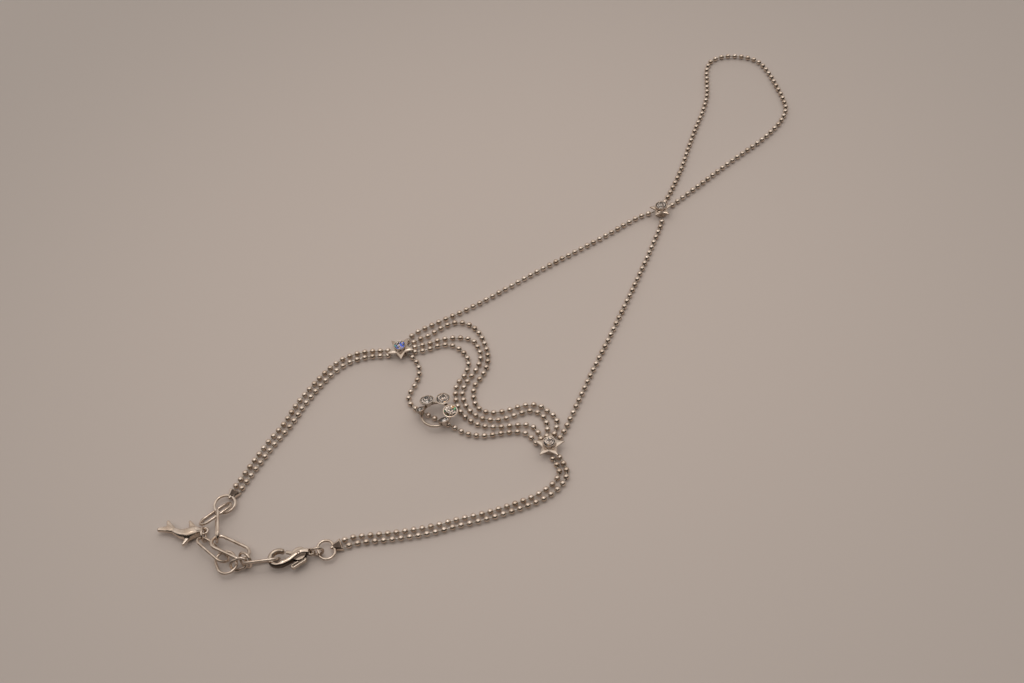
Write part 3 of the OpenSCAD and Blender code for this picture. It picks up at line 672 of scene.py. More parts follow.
def stone_piece(node, place, d, dark, painted_glints):
    """A cut stone with a mirror coat under its lower facets, some of them painted dark and some painted as
    glints.

    dark: how many mains in ten are painted dark reflections, and twice as many round the point
    painted_glints: the facets painted as glowing glints of colour, each with its ring, its number in that
    ring and its material
    """
    form, faces, rings = brilliant(d)
    v, _ = moved((form, faces), place)
    ob = mesh_piece(node + "_cut", v, faces, crown_glass, smooth=False)
    facet_materials = [crown_glass, light_foil, painted_dark_facet, painted_blue_glint, painted_green_glint, painted_orange_glint]
    for facet_material in facet_materials[1:]:
        ob.data.materials.append(facet_material)
    coloured = {(ring, count): facet_materials.index(colour) for ring, count, colour in painted_glints}
    slots = []
    for k, ring in enumerate(rings):
        count = rings[:k].count(ring)
        plain = 2 if (7 * count + 3 * ring) % 10 < dark * (ring - 1) else 1
        slots.append(coloured.get((ring, count), plain) if ring else 0)
    ob.data.polygons.foreach_set("material_index", slots)
    fix_normals(ob)
    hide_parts(node)


def cup_profile(foot, lip, lip_curve, stone_r, seat_curve):
    """A cup's outline: its foot, the lip's curve, the wall beside the stone and the hollow under it.

    Each point of lip_curve lies so far inside and under the lip, and each of seat_curve so far outside
    the stone's room and under the lip.
    """
    room = stone_r + STONE_ROOM
    rows = foot + [(lip[0] - r, lip[1] - z) for r, z in lip_curve]
    rows += [(room + r, lip[1] - z) for r, z in seat_curve]
    floor_z = rows[-1][1] - 2 * POINT_DEPTH * room
    return rows + [(CUP_FLOOR_R, floor_z), (0, floor_z)]


# Stars: a five-armed plate with round edges and a soft ridge, a post under it and a lathed cup
STAR_TIP_R = 2.8
STAR_NOTCH_R = 1.4
STAR_EDGE = 0.2
# Height of the plate's top at its edge, its rise towards the middle and the width of that slope
STAR_EDGE_H = 0.33
STAR_RISE = 0.17
STAR_SLOPE = 0.5
STAR_BLEND = 0.05
STAR_MARGIN = 0.15
STAR_POST = [(0, 0), (1.12, 0), (1.2, 0.08), (1.2, 1.1), (1.26, 1.25), (0, 1.25)]
STAR_CUP_R = 1.2
STAR_CUP_FOOT_Z = PLATE_Z + STAR_T - 0.06
STAR_CUP_FOOT = [(STAR_CUP_R - 0.02, STAR_CUP_FOOT_Z), (STAR_CUP_R, STAR_CUP_FOOT_Z + 0.1)]
STAR_LIP_CURVE = [(0, 0.15), (0.02, 0.05), (0.07, 0)]
STAR_SEAT_CURVE = [(0.02, 0.01), (0, 0.06), (0, 0.13)]
# The solder seam round the cup's foot
SEAM_R = 1.19
SEAM_Z = PLATE_Z + STAR_T + 0.02
SEAM_WIRE_R = 0.08


def star_form(size):
    corners = []
    for k in range(10):
        r = (STAR_NOTCH_R if k % 2 else STAR_TIP_R) * size
        corners.append((r * math.cos(math.pi * k / 5), r * math.sin(math.pi * k / 5)))

    def field(x, y, z):
        flat = polygon_2d(x, y, corners)
        body = plate(flat, z - (PLATE_Z + STAR_T / 2), STAR_T / 2, STAR_EDGE)
        rise = STAR_RISE * np.sin(np.clip(-flat / STAR_SLOPE, 0, 1) * math.pi / 2)
        crown = z - (PLATE_Z + STAR_EDGE_H + rise)
        return -smooth_union(-body, -crown, STAR_BLEND)

    reach = STAR_TIP_R * size + STAR_MARGIN
    low = (-reach, -reach, PLATE_Z - STAR_MARGIN)
    return surface(field, low, (reach, reach, PLATE_Z + STAR_T + STAR_MARGIN), grid_step(0.06))


def star_piece(node, place, size):
    lip = (STAR_CUP_R, STAR_LIP_Z)
    cup = cup_profile(STAR_CUP_FOOT, lip, STAR_LIP_CURVE, STAR_STONE_D / 2, STAR_SEAT_CURVE)
    seam = sweep(ring_path(SEAM_R, SEAM_Z, ROUND_SIDES), SEAM_WIRE_R, THIN_SIDES, closed=True)
    post = lathe(STAR_POST, ROUND_SIDES)
    v, f = moved(joined([star_form(size), post, lathe(cup, ROUND_SIDES), seam]), place)
    ob = mesh_piece(node + "_setting", v, f, star_metal, sharp=28)
    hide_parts(node)


# For each star: its node, place, direction and size, its stone's share of painted dark facets, and its
# facets painted as glowing glints of colour
STARS = (
    ("left_star", LEFT_STAR, -91, 1, 2, [(3, 3, painted_blue_glint), (1, 5, painted_blue_glint), (1, 11, painted_green_glint)]),
    ("right_star", RIGHT_STAR, -66, 1, 3, [(3, 6, painted_orange_glint)]),
    ("finger_star", FINGER_STAR, 85, 0.87, 3, []),
)
for node, at, turn, size, dark, painted_glints in STARS:
    star_piece(node, placed(*at, 0, turn=turn), size)
    stone_z = STAR_LIP_Z - GIRDLE_H * STAR_STONE_D - STONE_SINK
    stone_piece(node + "_stone", placed(*at, stone_z, turn=turn), STAR_STONE_D, dark, painted_glints)


# Flower: five cups soldered to a ring
FLOWER_AT = (51.8, 27.6)
FLOWER_R = 2.7
FLOWER_WIRE = 0.5
# Sizes of a cup of size 1, and the share of its height where its cone ends
CUP_FOOT_R = 0.6
CUP_LIP_R = 1.4
CUP_H = 1.4
CUP_CONE = 0.8
CUP_EDGE = 0.05
CUP_LIP_CURVE = [(0.03, 0.16), (0, 0.08), (0.03, 0.02), (0.09, 0)]
# For each cup, as in the part's source: its direction from the ring's middle, its distance as a share
# of the ring's radius, its lift as a share of the ring's wire, its lean, the lean's direction, its size
CUPS = [(119, 1.03, 0.3, 14, 95, 1), (58, 1.09, 0, 2, 60, 1), (-10, 0.98, 0.1, 7, 290, 1),
        (-62, 1.14, 0.5, 30, 100, 0.8), (166, 1, 0.5, 30, 115, 0.75)]
# How many of each cup stone's facets are painted dark reflections
CUP_DARK = 3
# Each cup stone's facets painted as glowing glints of colour
CUP_PAINTED_GLINTS = [[], [(3, 5, painted_orange_glint)], [(1, 4, painted_green_glint), (1, 5, painted_orange_glint)], [], []]


def stone_drop(size):
    """Depth of a stone's lower girdle edge under its cup's lip."""
    return GIRDLE_H * FLOWER_STONE_D * size + STONE_SINK


def flower_cup_form(size):
    foot, lip, height = CUP_FOOT_R * size, CUP_LIP_R * size, CUP_H * size
    cone = (foot + (lip - foot) * CUP_CONE, height * CUP_CONE)
    foot_rows = [(0, 0), (foot - CUP_EDGE, 0), (foot, CUP_EDGE), cone]
    seat_curve = [(0.02, 0.01), (0, 0.05), (0, stone_drop(size))]
    stone_r = FLOWER_STONE_D * size / 2
    return lathe(cup_profile(foot_rows, (lip, height), CUP_LIP_CURVE, stone_r, seat_curve), ROUND_SIDES)


def cup_place(direction, distance, lift, lean, lean_to):
    x, y = turned(distance * FLOWER_R, 0, direction)
    place = placed(FLOWER_AT[0] + x, FLOWER_AT[1] + y, PLATE_Z + lift * FLOWER_WIRE)
    return place @ rot(lean_to, "Z") @ rot(lean, "Y")


def flower_piece():
    ring = sweep(ring_path(FLOWER_R, PLATE_Z + FLOWER_WIRE / 2, 96), FLOWER_WIRE / 2, 16, closed=True)
    cups = [moved(flower_cup_form(cup[5]), cup_place(*cup[:5])) for cup in CUPS]
    v, f = joined([moved(ring, placed(*FLOWER_AT, 0)), *cups])
    ob = mesh_piece("flower_setting_cups", v, f, star_metal, sharp=32)
    # The ring in darker, rougher silver
    further_material(ob, dull_metal, [k < len(ring[1]) for k in range(len(f))])
    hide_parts("flower_setting")


flower_piece()
for k, (cup, painted_glints) in enumerate(zip(CUPS, CUP_PAINTED_GLINTS)):
    size = cup[5]
    place = cup_place(*cup[:5]) @ Matrix.Translation((0, 0, CUP_H * size - stone_drop(size)))
    stone_piece("flower_stone_%d" % (k + 1), place, FLOWER_STONE_D * size, CUP_DARK, painted_glints)


# Links and rings of round wire, a little thinner than the solids so that none passes the solids' bounds
WIRE_SHARE = 0.994
WIRE_SIDES = 20
BEND_STEPS = 30
STRAIGHT_STEPS = 6


def link_form(length, width, wire):
    """A closed link that lies flat: two bends and two straights, or a round ring."""
    r = (width - wire) / 2
    half = (length - width) / 2
    angles = [math.pi * (k / BEND_STEPS - 0.5) for k in range(BEND_STEPS + 1)]
    side = [(half + r * math.cos(a), r * math.sin(a), 0) for a in angles]
    if half > 0:
        side += [(half - 2 * half * k / STRAIGHT_STEPS, r, 0) for k in range(1, STRAIGHT_STEPS)]
    else:
        side.pop()
    side = np.array(side)
    return sweep(np.concatenate([side, -side]), WIRE_SHARE * wire / 2, WIRE_SIDES, closed=True)


# For each link: x, y, z, roll, pitch and turn, then its length, its width and its wire
LINKS = {
    "extension_link_1": ((11.2, 13.85, 0.93, -32, 0, 33), 6.7, 3, 0.5),
    "extension_link_2": ((11.8, 10.65, 1.84, -69, -3, 91), 6.7, 3, 0.5),
    "extension_link_3": ((14.15, 5.8, 1.75, -15, 5, -34), 7.8, 3.5, 0.6),
    "extension_link_4": ((16.8, 2.85, 1.58, -33, 116, 8), 3.3, 3.3, 0.5),
    "extension_link_5": ((19.5, 2.2, 1.5, -60, 3, 0), 6.7, 3, 0.5),
    "extension_link_6": ((15.65, 2.25, 1.57, 59, -19, 3), 3.5, 2.4, 0.5),
    "extension_link_7": ((13.35, 3.25, 1.2, -1, 1, 108), 5, 3.8, 0.5),
    "extension_link_8": ((11.05, 6.1, 1.41, -40, 6, -48), 7.4, 3, 0.5),
    "charm_ring": ((9.35, 9.4, 1.51, 88, -8, 87), 2.9, 2.9, 0.4),
    "clasp_ring": ((29.06, 2.5, 1.25, 90, 0, 0), 2.5, 2.5, 0.5),
}
for node, (place, length, width, wire) in LINKS.items():
    v, f = moved(link_form(length, width, wire), placed(*place))
    ob = mesh_piece(node + "_wire_form", v, f, link_metal)
    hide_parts(node)


# End caps: a folded plate over the strands' ends, soldered to its ring, with a dark sheet of painted shade
# on top
CAP_RING_WIRE = 0.5
CAP_RING_Z = 0.9
CAP_HALF_T = 0.6
CAP_EDGE = 0.5
CAP_BACK_HALF_W = 0.5
CAP_FRONT_HALF_W = 1.25
# The solder between plate and ring
SOLDER_R = 0.3
SOLDER_BLEND = 0.2
# The openings for the strands, and how far each reaches into and out of the plate
MOUTH_R = 0.33
MOUTH_Z = 0.58
MOUTH_REACH = 0.3
MOUTH_BLEND = 0.08
# A dark sheet on the plate's top, painted shade in place of a recess between the plate's folds
PAINTED_SHADE_Z = 1.13
PAINTED_SHADE_HALF_T = 0.12
PAINTED_SHADE_EDGE = 0.1


def cap_piece(node, cap):
    x0, y0, turn, ring_l, ring_w = cap
    place = placed(x0, y0, 0, turn=turn)
    front = ring_w / 2 + CAP_L
    back = ring_w / 2 - CAP_RING_WIRE
    corners = [(back, -CAP_BACK_HALF_W), (front, -CAP_FRONT_HALF_W), (front, CAP_FRONT_HALF_W),
               (back, CAP_BACK_HALF_W)]
    wedge = [(back + 0.15, -0.32), (front - 0.25, -1), (front - 0.25, 0.55), (back + 0.15, 0.22)]

    def folded(x, y, z):
        body = plate(polygon_2d(x, y, corners), z - CAP_HALF_T, CAP_HALF_T, CAP_EDGE)
        for y_mouth in (-CAP_GAP / 2, CAP_GAP / 2):
            inner = (front - MOUTH_REACH, y_mouth, MOUTH_Z)
            outer = (front + MOUTH_REACH, y_mouth, MOUTH_Z)
            body = smooth_cut(body, capsule(x, y, z, inner, outer, MOUTH_R), MOUTH_BLEND)
        solder = capsule(x, y, z, (back - 0.1, 0, 0.9), (back + 0.35, 0, 0.85), SOLDER_R)
        return smooth_union(body, solder, SOLDER_BLEND)

    def painted_shade_sheet(x, y, z):
        return plate(polygon_2d(x, y, wedge), z - PAINTED_SHADE_Z, PAINTED_SHADE_HALF_T, PAINTED_SHADE_EDGE)

    step = grid_step(0.05)
    body = surface(folded, (back - 0.6, -1.45, -0.1), (front + 0.15, 1.45, 1.4), step)
    ring_place = Matrix.Translation((0, 0, CAP_RING_Z)) @ rot(90, "Z")
    v, f = moved(joined([body, moved(link_form(ring_l, ring_w, CAP_RING_WIRE), ring_place)]), place)
    v[:, 2] = np.maximum(v[:, 2], 0)
    ob = mesh_piece(node + "_folded", v, f, cast_metal)
    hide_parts(node)
    # Painted shade: the dark sheet on the plate's top
    v, f = moved(surface(painted_shade_sheet, (back, -1.1, 0.9), (front, 0.9, 1.35), step), place)
    ob = mesh_piece(node + "_painted_shade_sheet", v, f, painted_shade_metal)


cap_piece("left_end_cap", LEFT_CAP)
cap_piece("right_end_cap", RIGHT_CAP)


# Clasp: one polished casting, a rivet with domed heads and a grooved lever, all seen from the pivot
CLASP_AT = (26, 2.4, 1.35)
# The two corners of the box in which a form is meshed
CLASP_BOX = ((-5.6, -2.2, -0.9), (3.0, 2.0, 0.9))
LEVER_BOX = ((-2.5, -2.9, -0.4), (1.3, 1.4, 0.4))
CLAW = (-3.6, -0.1)
CLAW_R = 1.4
CLAW_WIRE_R = 0.42
# Half the claw's arc, in degrees from its far side
CLAW_HALF_ARC = 120
CLAW_HALF_T = 0.6
# The spine's crest from the claw over the pivot to the eye
CREST = [(-2.9, -1.31), (-2.2, -1.1), (-1.5, -0.8), (-0.8, -0.3), (-0.15, 0.15), (0.5, 0.38), (1.1, 0.36),
         (1.6, 0.22)]
CREST_R = 0.56
CREST_HALF_T = 0.68
CREST_EDGE = 0.55
# The thinner web under the crest: round cheeks at the pivot and a bar along the spine
CHEEK_R = 1.35
SPINE_BAR = (CREST[0], (-0.3, -0.1), 0.45, 0.52)
WEB_HALF_T = 0.44
WEB_EDGE = 0.2
EYE = (2.1, 0.1)
EYE_R = 0.75
EYE_HOLE_R = 0.45
EYE_NECK_R = 0.36
EYE_HALF_T = 0.3
EYE_EDGE = 0.22
# The room for the lever: its hub, and two sweeps in degrees for its finger and its thumb
HUB_ROOM_R = 1.0
SWEEPS = [(135, 210), (225, 340)]
SWEEP_R = 2.7
ROOM_HALF_T = 0.3
# A degree beside a sweep counts as this length, and no place is deeper in a sweep than this many degrees
DEGREE_LENGTH = 0.02
SWEEP_DEPTH = 20
PIN_HOLE_R = 0.27
# Widths over which the clasp's forms run into one another, and the roundness of its cut edges
CREST_BLEND = 0.25
SPINE_BLEND = 0.3
WEB_BLEND = 0.06
NECK_BLEND = 0.1
EYE_BLEND = 0.12
EYE_HOLE_BLEND = 0.06
ROOM_BLEND = 0.05
PIN_HOLE_BLEND = 0.03


def claw_arc(x, y):
    """Distance to the claw's open ring of round wire."""
    u, w = np.abs(y - CLAW[1]), CLAW[0] - x
    sx, sy = math.sin(math.radians(CLAW_HALF_ARC)), math.cos(math.radians(CLAW_HALF_ARC))
    off_end = sy * u > sx * w
    to_end = np.hypot(u - sx * CLAW_R, w - sy * CLAW_R)
    return np.where(off_end, to_end, np.abs(np.hypot(u, w) - CLAW_R)) - CLAW_WIRE_R


def lever_room(x, y, z):
    beyond = np.full(x.shape, np.inf)
    a = np.degrees(np.arctan2(y, x)) % 360
    for start, end in SWEEPS:
        beyond = np.minimum(beyond, np.maximum(start - a, a - end))
    sweeps = np.maximum(np.maximum(beyond, -SWEEP_DEPTH) * DEGREE_LENGTH, disc_2d(x, y, (0, 0), SWEEP_R))
    return np.maximum(np.minimum(disc_2d(x, y, (0, 0), HUB_ROOM_R), sweeps), np.abs(z) - ROOM_HALF_T)


def clasp_field(x, y, z):
    crest = np.full(x.shape, np.inf)
    for a, b in zip(CREST, CREST[1:]):
        crest = np.minimum(crest, bar_2d(x, y, a, b, CREST_R))
    claw = plate(claw_arc(x, y), z, CLAW_HALF_T, CLAW_WIRE_R)
    ridge = smooth_union(claw, plate(crest, z, CREST_HALF_T, CREST_EDGE), CREST_BLEND)
    web = smooth_union(disc_2d(x, y, (0, 0), CHEEK_R), bar_2d(x, y, *SPINE_BAR), SPINE_BLEND)
    body = smooth_union(ridge, plate(web, z, WEB_HALF_T, WEB_EDGE), WEB_BLEND)
    eye = smooth_union(bar_2d(x, y, (0, 0), EYE, EYE_NECK_R), disc_2d(x, y, EYE, EYE_R), NECK_BLEND)
    body = smooth_union(body, plate(eye, z, EYE_HALF_T, EYE_EDGE), EYE_BLEND)
    body = smooth_cut(body, disc_2d(x, y, EYE, EYE_HOLE_R), EYE_HOLE_BLEND)
    body = smooth_cut(body, lever_room(x, y, z), ROOM_BLEND)
    return smooth_cut(body, disc_2d(x, y, (0, 0), PIN_HOLE_R), PIN_HOLE_BLEND)


# The flank painted dark as a painted reflection of dark surroundings: its depth under the crest and its
# reach along the spine, and where it goes on outside the claw's middle line
FLANK_DEPTH = (0.36, 1.05)
FLANK_X = (-3, 1.5)
FLANK_HALF_T = 0.6
CLAW_FLANK = 0.14
CLAW_FLANK_TOP_Y = -1
# The faces in darker, rougher silver: the claw's top, and all that is thinner than the crest
DULL_CLAW_HALF_W = 0.6
DULL_CLAW_Y = -0.9
DULL_CLAW_X = -2.2
DULL_HALF_T = 0.46


def clasp_dull_and_painted_shade(mids):
    """For each face 0 for cast metal, 1 for darker, rougher silver and 2 for painted shade on the flank.
    """
    x, y, z = mids.T
    under_crest = np.interp(x, *np.transpose(CREST)) - y
    from_claw = disc_2d(x, y, CLAW, CLAW_R)
    spine_flank = (under_crest > FLANK_DEPTH[0]) & (under_crest < FLANK_DEPTH[1])
    spine_flank &= (x > FLANK_X[0]) & (x < FLANK_X[1])
    claw_flank = (from_claw > CLAW_FLANK) & (y < CLAW_FLANK_TOP_Y) & (x <= FLANK_X[0])
    painted_dark_flank = (spine_flank | claw_flank) & (np.abs(z) < FLANK_HALF_T)
    claw_top = (np.abs(from_claw) < DULL_CLAW_HALF_W) & (y > DULL_CLAW_Y) & (x < DULL_CLAW_X)
    return np.where(painted_dark_flank, 2, np.where(claw_top | (np.abs(z) < DULL_HALF_T), 1, 0))


v, f = surface(clasp_field, *CLASP_BOX, grid_step(0.05))
dull_and_painted_shade = clasp_dull_and_painted_shade(face_middles(v, f))
v, f = moved((v, f), placed(*CLASP_AT))
clasp = mesh_piece("clasp_body_cast", v, f, cast_metal)
further_material(clasp, dull_metal, dull_and_painted_shade == 1)
# Painted shade: the dark flank under the crest, in near-black silver
further_material(clasp, painted_shade_metal, dull_and_painted_shade == 2)
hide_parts("clasp_body")

RIVET_HEAD = [(0.25, 0.52), (0.24, 0.6), (0.16, 0.65), (0, 0.67)]
rivet_profile = [(r, -z) for r, z in reversed(RIVET_HEAD)] + RIVET_HEAD
v, f = moved(lathe(rivet_profile, 32), placed(*CLASP_AT))
rivet = mesh_piece("clasp_rivet_domed", v, f, link_metal)
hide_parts("clasp_rivet")

# The lever's hub, its finger into the claw, its neck and its thumb; bars with start, end and half widths
LEVER_HUB_R = 0.7
LEVER_FINGER = ((0, 0), (-2.03, 0.78), 0.3)
LEVER_NECK = ((0, 0), (0.7, -1.3), 0.3)
LEVER_THUMB = ((0.93, -1.25), (-1.0, -2.25), 0.41, 0.43)
LEVER_HALF_T = 0.25
LEVER_EDGE = 0.12
THUMB_HALF_T = 0.36
THUMB_EDGE = 0.16
# The thumb keeps this far from the pivot, clear of the clasp's cheeks
THUMB_CLEAR_R = 1.43
LEVER_HOLE_R = 0.3
LEVER_BLEND = 0.12
THUMB_BLEND = 0.1
SLOT_BLEND = 0.03
LEVER_HOLE_BLEND = 0.04
# The groove in both sides of the thumb, cut by a plate whose middle lies this far from the lever's
LEVER_SLOT = ((0.75, -1.36), (-0.93, -2.21), 0.12, 0.2)
SLOT_Z = 0.4
SLOT_HALF_T = 0.27
SLOT_EDGE = 0.04
# The groove's dark metal reaches this far past the slot's outline and up to this height
GROOVE_EDGE = 0.03
GROOVE_HALF_T = 0.33


def lever_field(x, y, z):
    plan = disc_2d(x, y, (0, 0), LEVER_HUB_R)
    for bar in (LEVER_FINGER, LEVER_NECK):
        plan = smooth_union(plan, bar_2d(x, y, *bar), LEVER_BLEND)
    thumb = np.maximum(bar_2d(x, y, *LEVER_THUMB), -disc_2d(x, y, (0, 0), THUMB_CLEAR_R))
    body = plate(plan, z, LEVER_HALF_T, LEVER_EDGE)
    body = smooth_union(body, plate(thumb, z, THUMB_HALF_T, THUMB_EDGE), THUMB_BLEND)
    for z_slot in (-SLOT_Z, SLOT_Z):
        slot = plate(bar_2d(x, y, *LEVER_SLOT), z - z_slot, SLOT_HALF_T, SLOT_EDGE)
        body = smooth_cut(body, slot, SLOT_BLEND)
    return smooth_cut(body, disc_2d(x, y, (0, 0), LEVER_HOLE_R), LEVER_HOLE_BLEND)


v, f = surface(lever_field, *LEVER_BOX, grid_step(0.045))
mid_x, mid_y, mid_z = face_middles(v, f).T
in_groove = (bar_2d(mid_x, mid_y, *LEVER_SLOT) < GROOVE_EDGE) & (np.abs(mid_z) < GROOVE_HALF_T)
v, f = moved((v, f), placed(*CLASP_AT))
lever = mesh_piece("clasp_lever_grooved", v, f, dull_metal, body="lever")
further_material(lever, groove_metal, in_groove)
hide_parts("clasp_lever")


# Dolphin: a rounded body with thin fins, eyes, mouth lines and a loop at the nose
NOSE = (9.35, 10.55)
DOLPHIN_L = 8.45
DOLPHIN_R = 1.05
DOLPHIN_BOX = ((0.6, 7.7, -0.15), (10.3, 14.2, 2.25))
# Stations along the spine, as in the part's source: x and y as shares of the length, seen from the nose
# loop, and the half width as a share of the greatest one
STATIONS = [(-0.765, 0.215, 0.26), (-0.63, 0.105, 0.56), (-0.485, 0.005, 0.78), (-0.35, -0.03, 1),
            (-0.245, -0.005, 1), (-0.16, 0.01, 0.84), (-0.105, 0.01, 0.6), (-0.075, 0.005, 0.35)]
BODY_SHARE = 0.98
# The body's roundness as a share of its half width, at the tail and at the head
ROUND_X = (3, 6.5)
ROUND_SHARE = (0.95, 0.75)
# The fins as tapered bars: start, end, and the half width at each in millimetres
FINS = [((-0.71, 0.18), (-0.77, 0.355), 0.66, 0.3), ((-0.72, 0.17), (-0.947, 0.205), 0.6, 0.42),
        ((-0.225, 0.06), (-0.305, 0.27), 0.72, 0.26), ((-0.29, -0.05), (-0.435, -0.265), 0.62, 0.22)]
FIN_HALF_T = 0.38
FIN_EDGE = 0.3
FIN_BLEND = 0.35
# The right eye and the right mouth line, from the dolphin's mid height; the left ones mirror them
DOLPHIN_EYE = (8.0, 10.75, 0.85)
DOLPHIN_EYE_R = 0.1
EYE_CUT_BLEND = 0.05
MOUTH_LINE = ((8.1, 10.33, 0.75), (8.8, 10.42, 0.33))
MOUTH_LINE_R = 0.05
MOUTH_LINE_BLEND = 0.04
NOSE_LOOP_R = 0.6
NOSE_LOOP_WIRE_R = 0.2
NOSE_LOOP_BLEND = 0.06


def from_nose(points):
    return [(NOSE[0] + DOLPHIN_L * p[0], NOSE[1] + DOLPHIN_L * p[1]) for p in points]


SPINE = from_nose(STATIONS)
SPINE_X = [p[0] for p in SPINE]
DENSE_X = np.linspace(SPINE_X[0], SPINE_X[-1], 36)
EASE_ROUNDS = 6


def eased(values):
    """Values at the dense places along the spine, with the corners between the stations softened."""
    dense = np.interp(DENSE_X, SPINE_X, values)
    for _ in range(EASE_ROUNDS):
        dense[1:-1] = 0.25 * dense[:-2] + 0.5 * dense[1:-1] + 0.25 * dense[2:]
    return dense


DENSE_Y = eased([p[1] for p in SPINE])
DENSE_R = eased([BODY_SHARE * DOLPHIN_R * row[2] for row in STATIONS])


def dolphin_field(x, y, z):
    z = z - DOLPHIN_R
    plan = np.full(x.shape, np.inf)
    rows = list(zip(DENSE_X, DENSE_Y, DENSE_R))
    for (ax, ay, ra), (bx, by, rb) in zip(rows, rows[1:]):
        plan = np.minimum(plan, bar_2d(x, y, (ax, ay), (bx, by), ra, rb))
    half = np.interp(x, DENSE_X, DENSE_R)
    body = plate(plan, z, half, np.interp(x, ROUND_X, ROUND_SHARE) * half)
    for start, end, ra, rb in FINS:
        a, b = from_nose([start, end])
        body = smooth_union(body, plate(bar_2d(x, y, a, b, ra, rb), z, FIN_HALF_T, FIN_EDGE), FIN_BLEND)
    for side in (-1, 1):
        ex, ey, ez = DOLPHIN_EYE
        eye = np.sqrt((x - ex) ** 2 + (y - ey) ** 2 + (z - side * ez) ** 2) - DOLPHIN_EYE_R
        body = smooth_cut(body, eye, EYE_CUT_BLEND)
        a, b = [(px, py, side * pz) for px, py, pz in MOUTH_LINE]
        body = smooth_cut(body, capsule(x, y, z, a, b, MOUTH_LINE_R), MOUTH_LINE_BLEND)
    loop = np.hypot(disc_2d(x, y, NOSE, NOSE_LOOP_R), z) - NOSE_LOOP_WIRE_R
    return smooth_union(body, loop, NOSE_LOOP_BLEND)


v, f = surface(dolphin_field, *DOLPHIN_BOX, grid_step(0.07))
v, f = moved((v, f), placed(0, 0, 0))
dolphin = mesh_piece("dolphin_charm_cast", v, f, charm_metal)
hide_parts("dolphin_charm")


# Floor, and from here on all is in metres: a pale, slightly glossy surface, painted lighter in its middle
# as a pool of light
FLOOR_HALF = 6
FLOOR_Z = -0.00005
# Its colour in the painted pool of light near the middle and far from it, and the distances between which
# it changes
LIGHT_POOL_COLOUR = (0.66, 0.585, 0.54, 1)
OUTSIDE_POOL_COLOUR = (0.525, 0.475, 0.443, 1)
LIGHT_POOL_R = 0.02
LIGHT_POOL_FADE_R = 0.16


def floor_material():
    m, t, bsdf = new_material("floor_surface")
    place = new_node(t, "TexCoord")
    far = new_node(t, "VectorMath")
    far.operation = "LENGTH"
    t.links.new(place.outputs["Object"], far.inputs[0])
    share = new_node(t, "MapRange", {"From Min": LIGHT_POOL_R, "From Max": LIGHT_POOL_FADE_R})
    share.interpolation_type = "SMOOTHSTEP"
    t.links.new(far.outputs["Value"], share.inputs["Value"])
    # Painted light: the floor's colour is lighter near the middle and darker outwards
    painted_light_pool = new_node(t, "ValToRGB")
    painted_light_pool.color_ramp.elements[0].color = LIGHT_POOL_COLOUR
    painted_light_pool.color_ramp.elements[1].color = OUTSIDE_POOL_COLOUR
    t.links.new(share.outputs["Result"], painted_light_pool.inputs["Fac"])
    t.links.new(painted_light_pool.outputs["Color"], bsdf.inputs["Base Color"])
    set_inputs(bsdf, {"Roughness": 0.5, "Specular IOR Level": 0.25})
    return m


floor_me = bpy.data.meshes.new("floor")
corners = [(-FLOOR_HALF, -FLOOR_HALF), (FLOOR_HALF, -FLOOR_HALF), (FLOOR_HALF, FLOOR_HALF),
           (-FLOOR_HALF, FLOOR_HALF)]
floor_me.from_pydata([(x, y, FLOOR_Z) for x, y in corners], [], [(0, 1, 2, 3)])
floor_me.materials.append(floor_material())
floor_ob = bpy.data.objects.new("floor", floor_me)
bpy.context.scene.collection.objects.link(floor_ob)


# Light: a pale tent with a wide soft panel overhead and a dark gap low on the near side, and one lamp
# The strengths of the tent, the panel, the tent's lighter far side and the gap
TENT = 0.42
PANEL = 1.0
BACK = 0.62
GAP = 0.02
LIGHT_COLOUR = (1.0, 0.93, 0.87, 1)
# The panel's half widths in the sky's direction, and where its soft edge starts and ends
PANEL_HALF_X = 0.96
PANEL_HALF_Y = 0.6
PANEL_EDGE = (0.8, 1.12)
# Directions between which the far side and the gap fade out
BACK_EDGE = (0.7, 0.3)
GAP_TOP = (0.64, 0.8)
GAP_SIDE = (-0.08, 0.16)

world = bpy.data.worlds.new("studio")
bpy.context.scene.world = world
world.use_nodes = True
sky = world.node_tree


def feed(source, socket):
    """Sets a socket to a number, or links another node's result to it."""
    if isinstance(source, (int, float)):
        socket.default_value = source
    else:
        sky.links.new(source, socket)


def maths(operation, a, b=0.0):
    node = new_node(sky, "Math")
    node.operation = operation
    feed(a, node.inputs[0])
    feed(b, node.inputs[1])
    return node.outputs[0]


def fade(value, start, end):
    """1 at start and 0 at end, smooth between them."""
    node = new_node(sky, "MapRange", {"From Min": start, "From Max": end, "To Min": 1.0, "To Max": 0.0})
    node.interpolation_type = "SMOOTHSTEP"
    feed(value, node.inputs["Value"])
    return node.outputs["Result"]


def squared_share(value, whole):
    return maths("POWER", maths("DIVIDE", maths("ABSOLUTE", value), whole), 2.0)


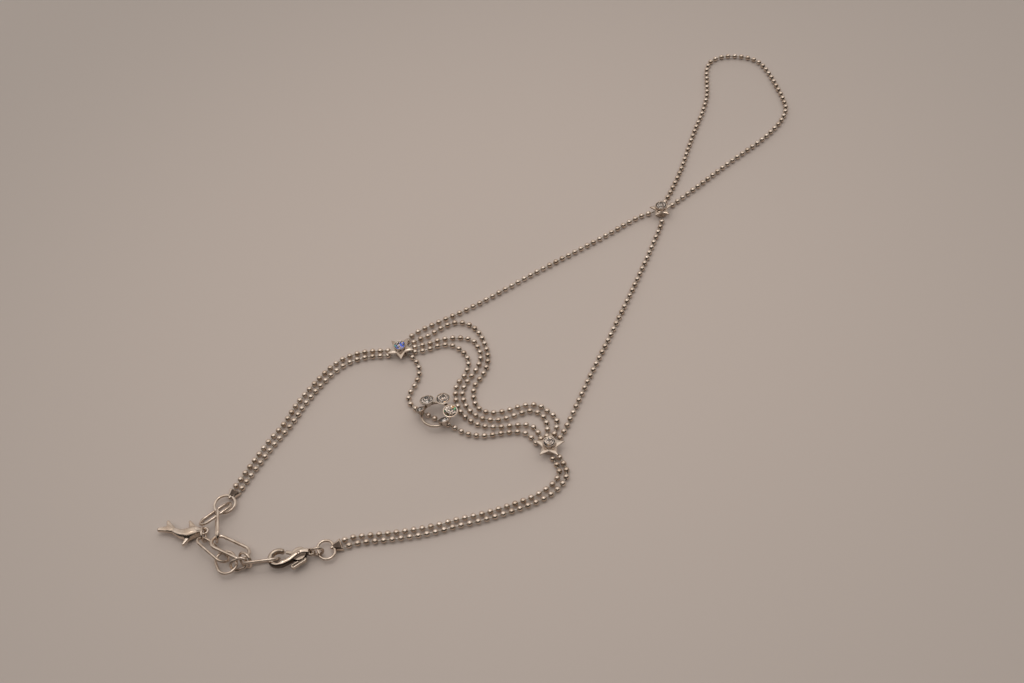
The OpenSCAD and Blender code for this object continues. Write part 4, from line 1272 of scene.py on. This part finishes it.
direction = new_node(sky, "TexCoord")
split = new_node(sky, "SeparateXYZ")
sky.links.new(direction.outputs["Generated"], split.inputs[0])
dx, dy, dz = split.outputs
squares = maths("ADD", squared_share(dx, PANEL_HALF_X), squared_share(dy, PANEL_HALF_Y))
panel = fade(maths("SQRT", squares), *PANEL_EDGE)
back = maths("MULTIPLY", fade(dy, *BACK_EDGE), maths("SUBTRACT", 1.0, panel))
gap = maths("MULTIPLY", fade(dz, *GAP_TOP), fade(dy, *GAP_SIDE))
level = maths("ADD", TENT, maths("MULTIPLY", panel, PANEL - TENT))
level = maths("ADD", level, maths("MULTIPLY", back, BACK - TENT))
level = maths("MULTIPLY", level, maths("SUBTRACT", 1.0, maths("MULTIPLY", gap, 1.0 - GAP / TENT)))
background = sky.nodes["Background"]
background.inputs["Color"].default_value = LIGHT_COLOUR
sky.links.new(level, background.inputs["Strength"])

LAMP_AT = (-0.05, 0.06, 0.5)
lamp_data = bpy.data.lights.new("key", "AREA")
lamp_data.shape = "DISK"
lamp_data.size = 0.1
lamp_data.energy = 0.12
lamp_data.color = (1.0, 0.95, 0.9)
lamp = bpy.data.objects.new("key", lamp_data)
bpy.context.scene.collection.objects.link(lamp)
lamp.location = LAMP_AT
lamp.rotation_euler = (-Vector(LAMP_AT)).to_track_quat("-Z", "Y").to_euler()


# Camera at the photograph's angle; angles in radians
CAMERA_AT = (-0.00017, -0.18338, 0.19405)
TILT = 0.85727
ROLL = -0.159355
ahead = Vector((0, math.cos(TILT), -math.sin(TILT)))
level_right, level_down = Vector((1, 0, 0)), Vector((0, -math.sin(TILT), -math.cos(TILT)))
right = math.cos(ROLL) * level_right - math.sin(ROLL) * level_down
up = -(math.sin(ROLL) * level_right + math.cos(ROLL) * level_down)
camera_data = bpy.data.cameras.new("camera")
camera_data.sensor_width = 36
camera_data.lens = 47.27
camera_data.clip_start = 0.01
camera = bpy.data.objects.new("camera", camera_data)
bpy.context.scene.collection.objects.link(camera)
camera_place = Matrix((right, up, -ahead)).transposed().to_4x4()
camera_place.translation = CAMERA_AT
camera.matrix_world = camera_place
bpy.context.scene.camera = camera
bpy.context.scene.view_settings.view_transform = "Standard"
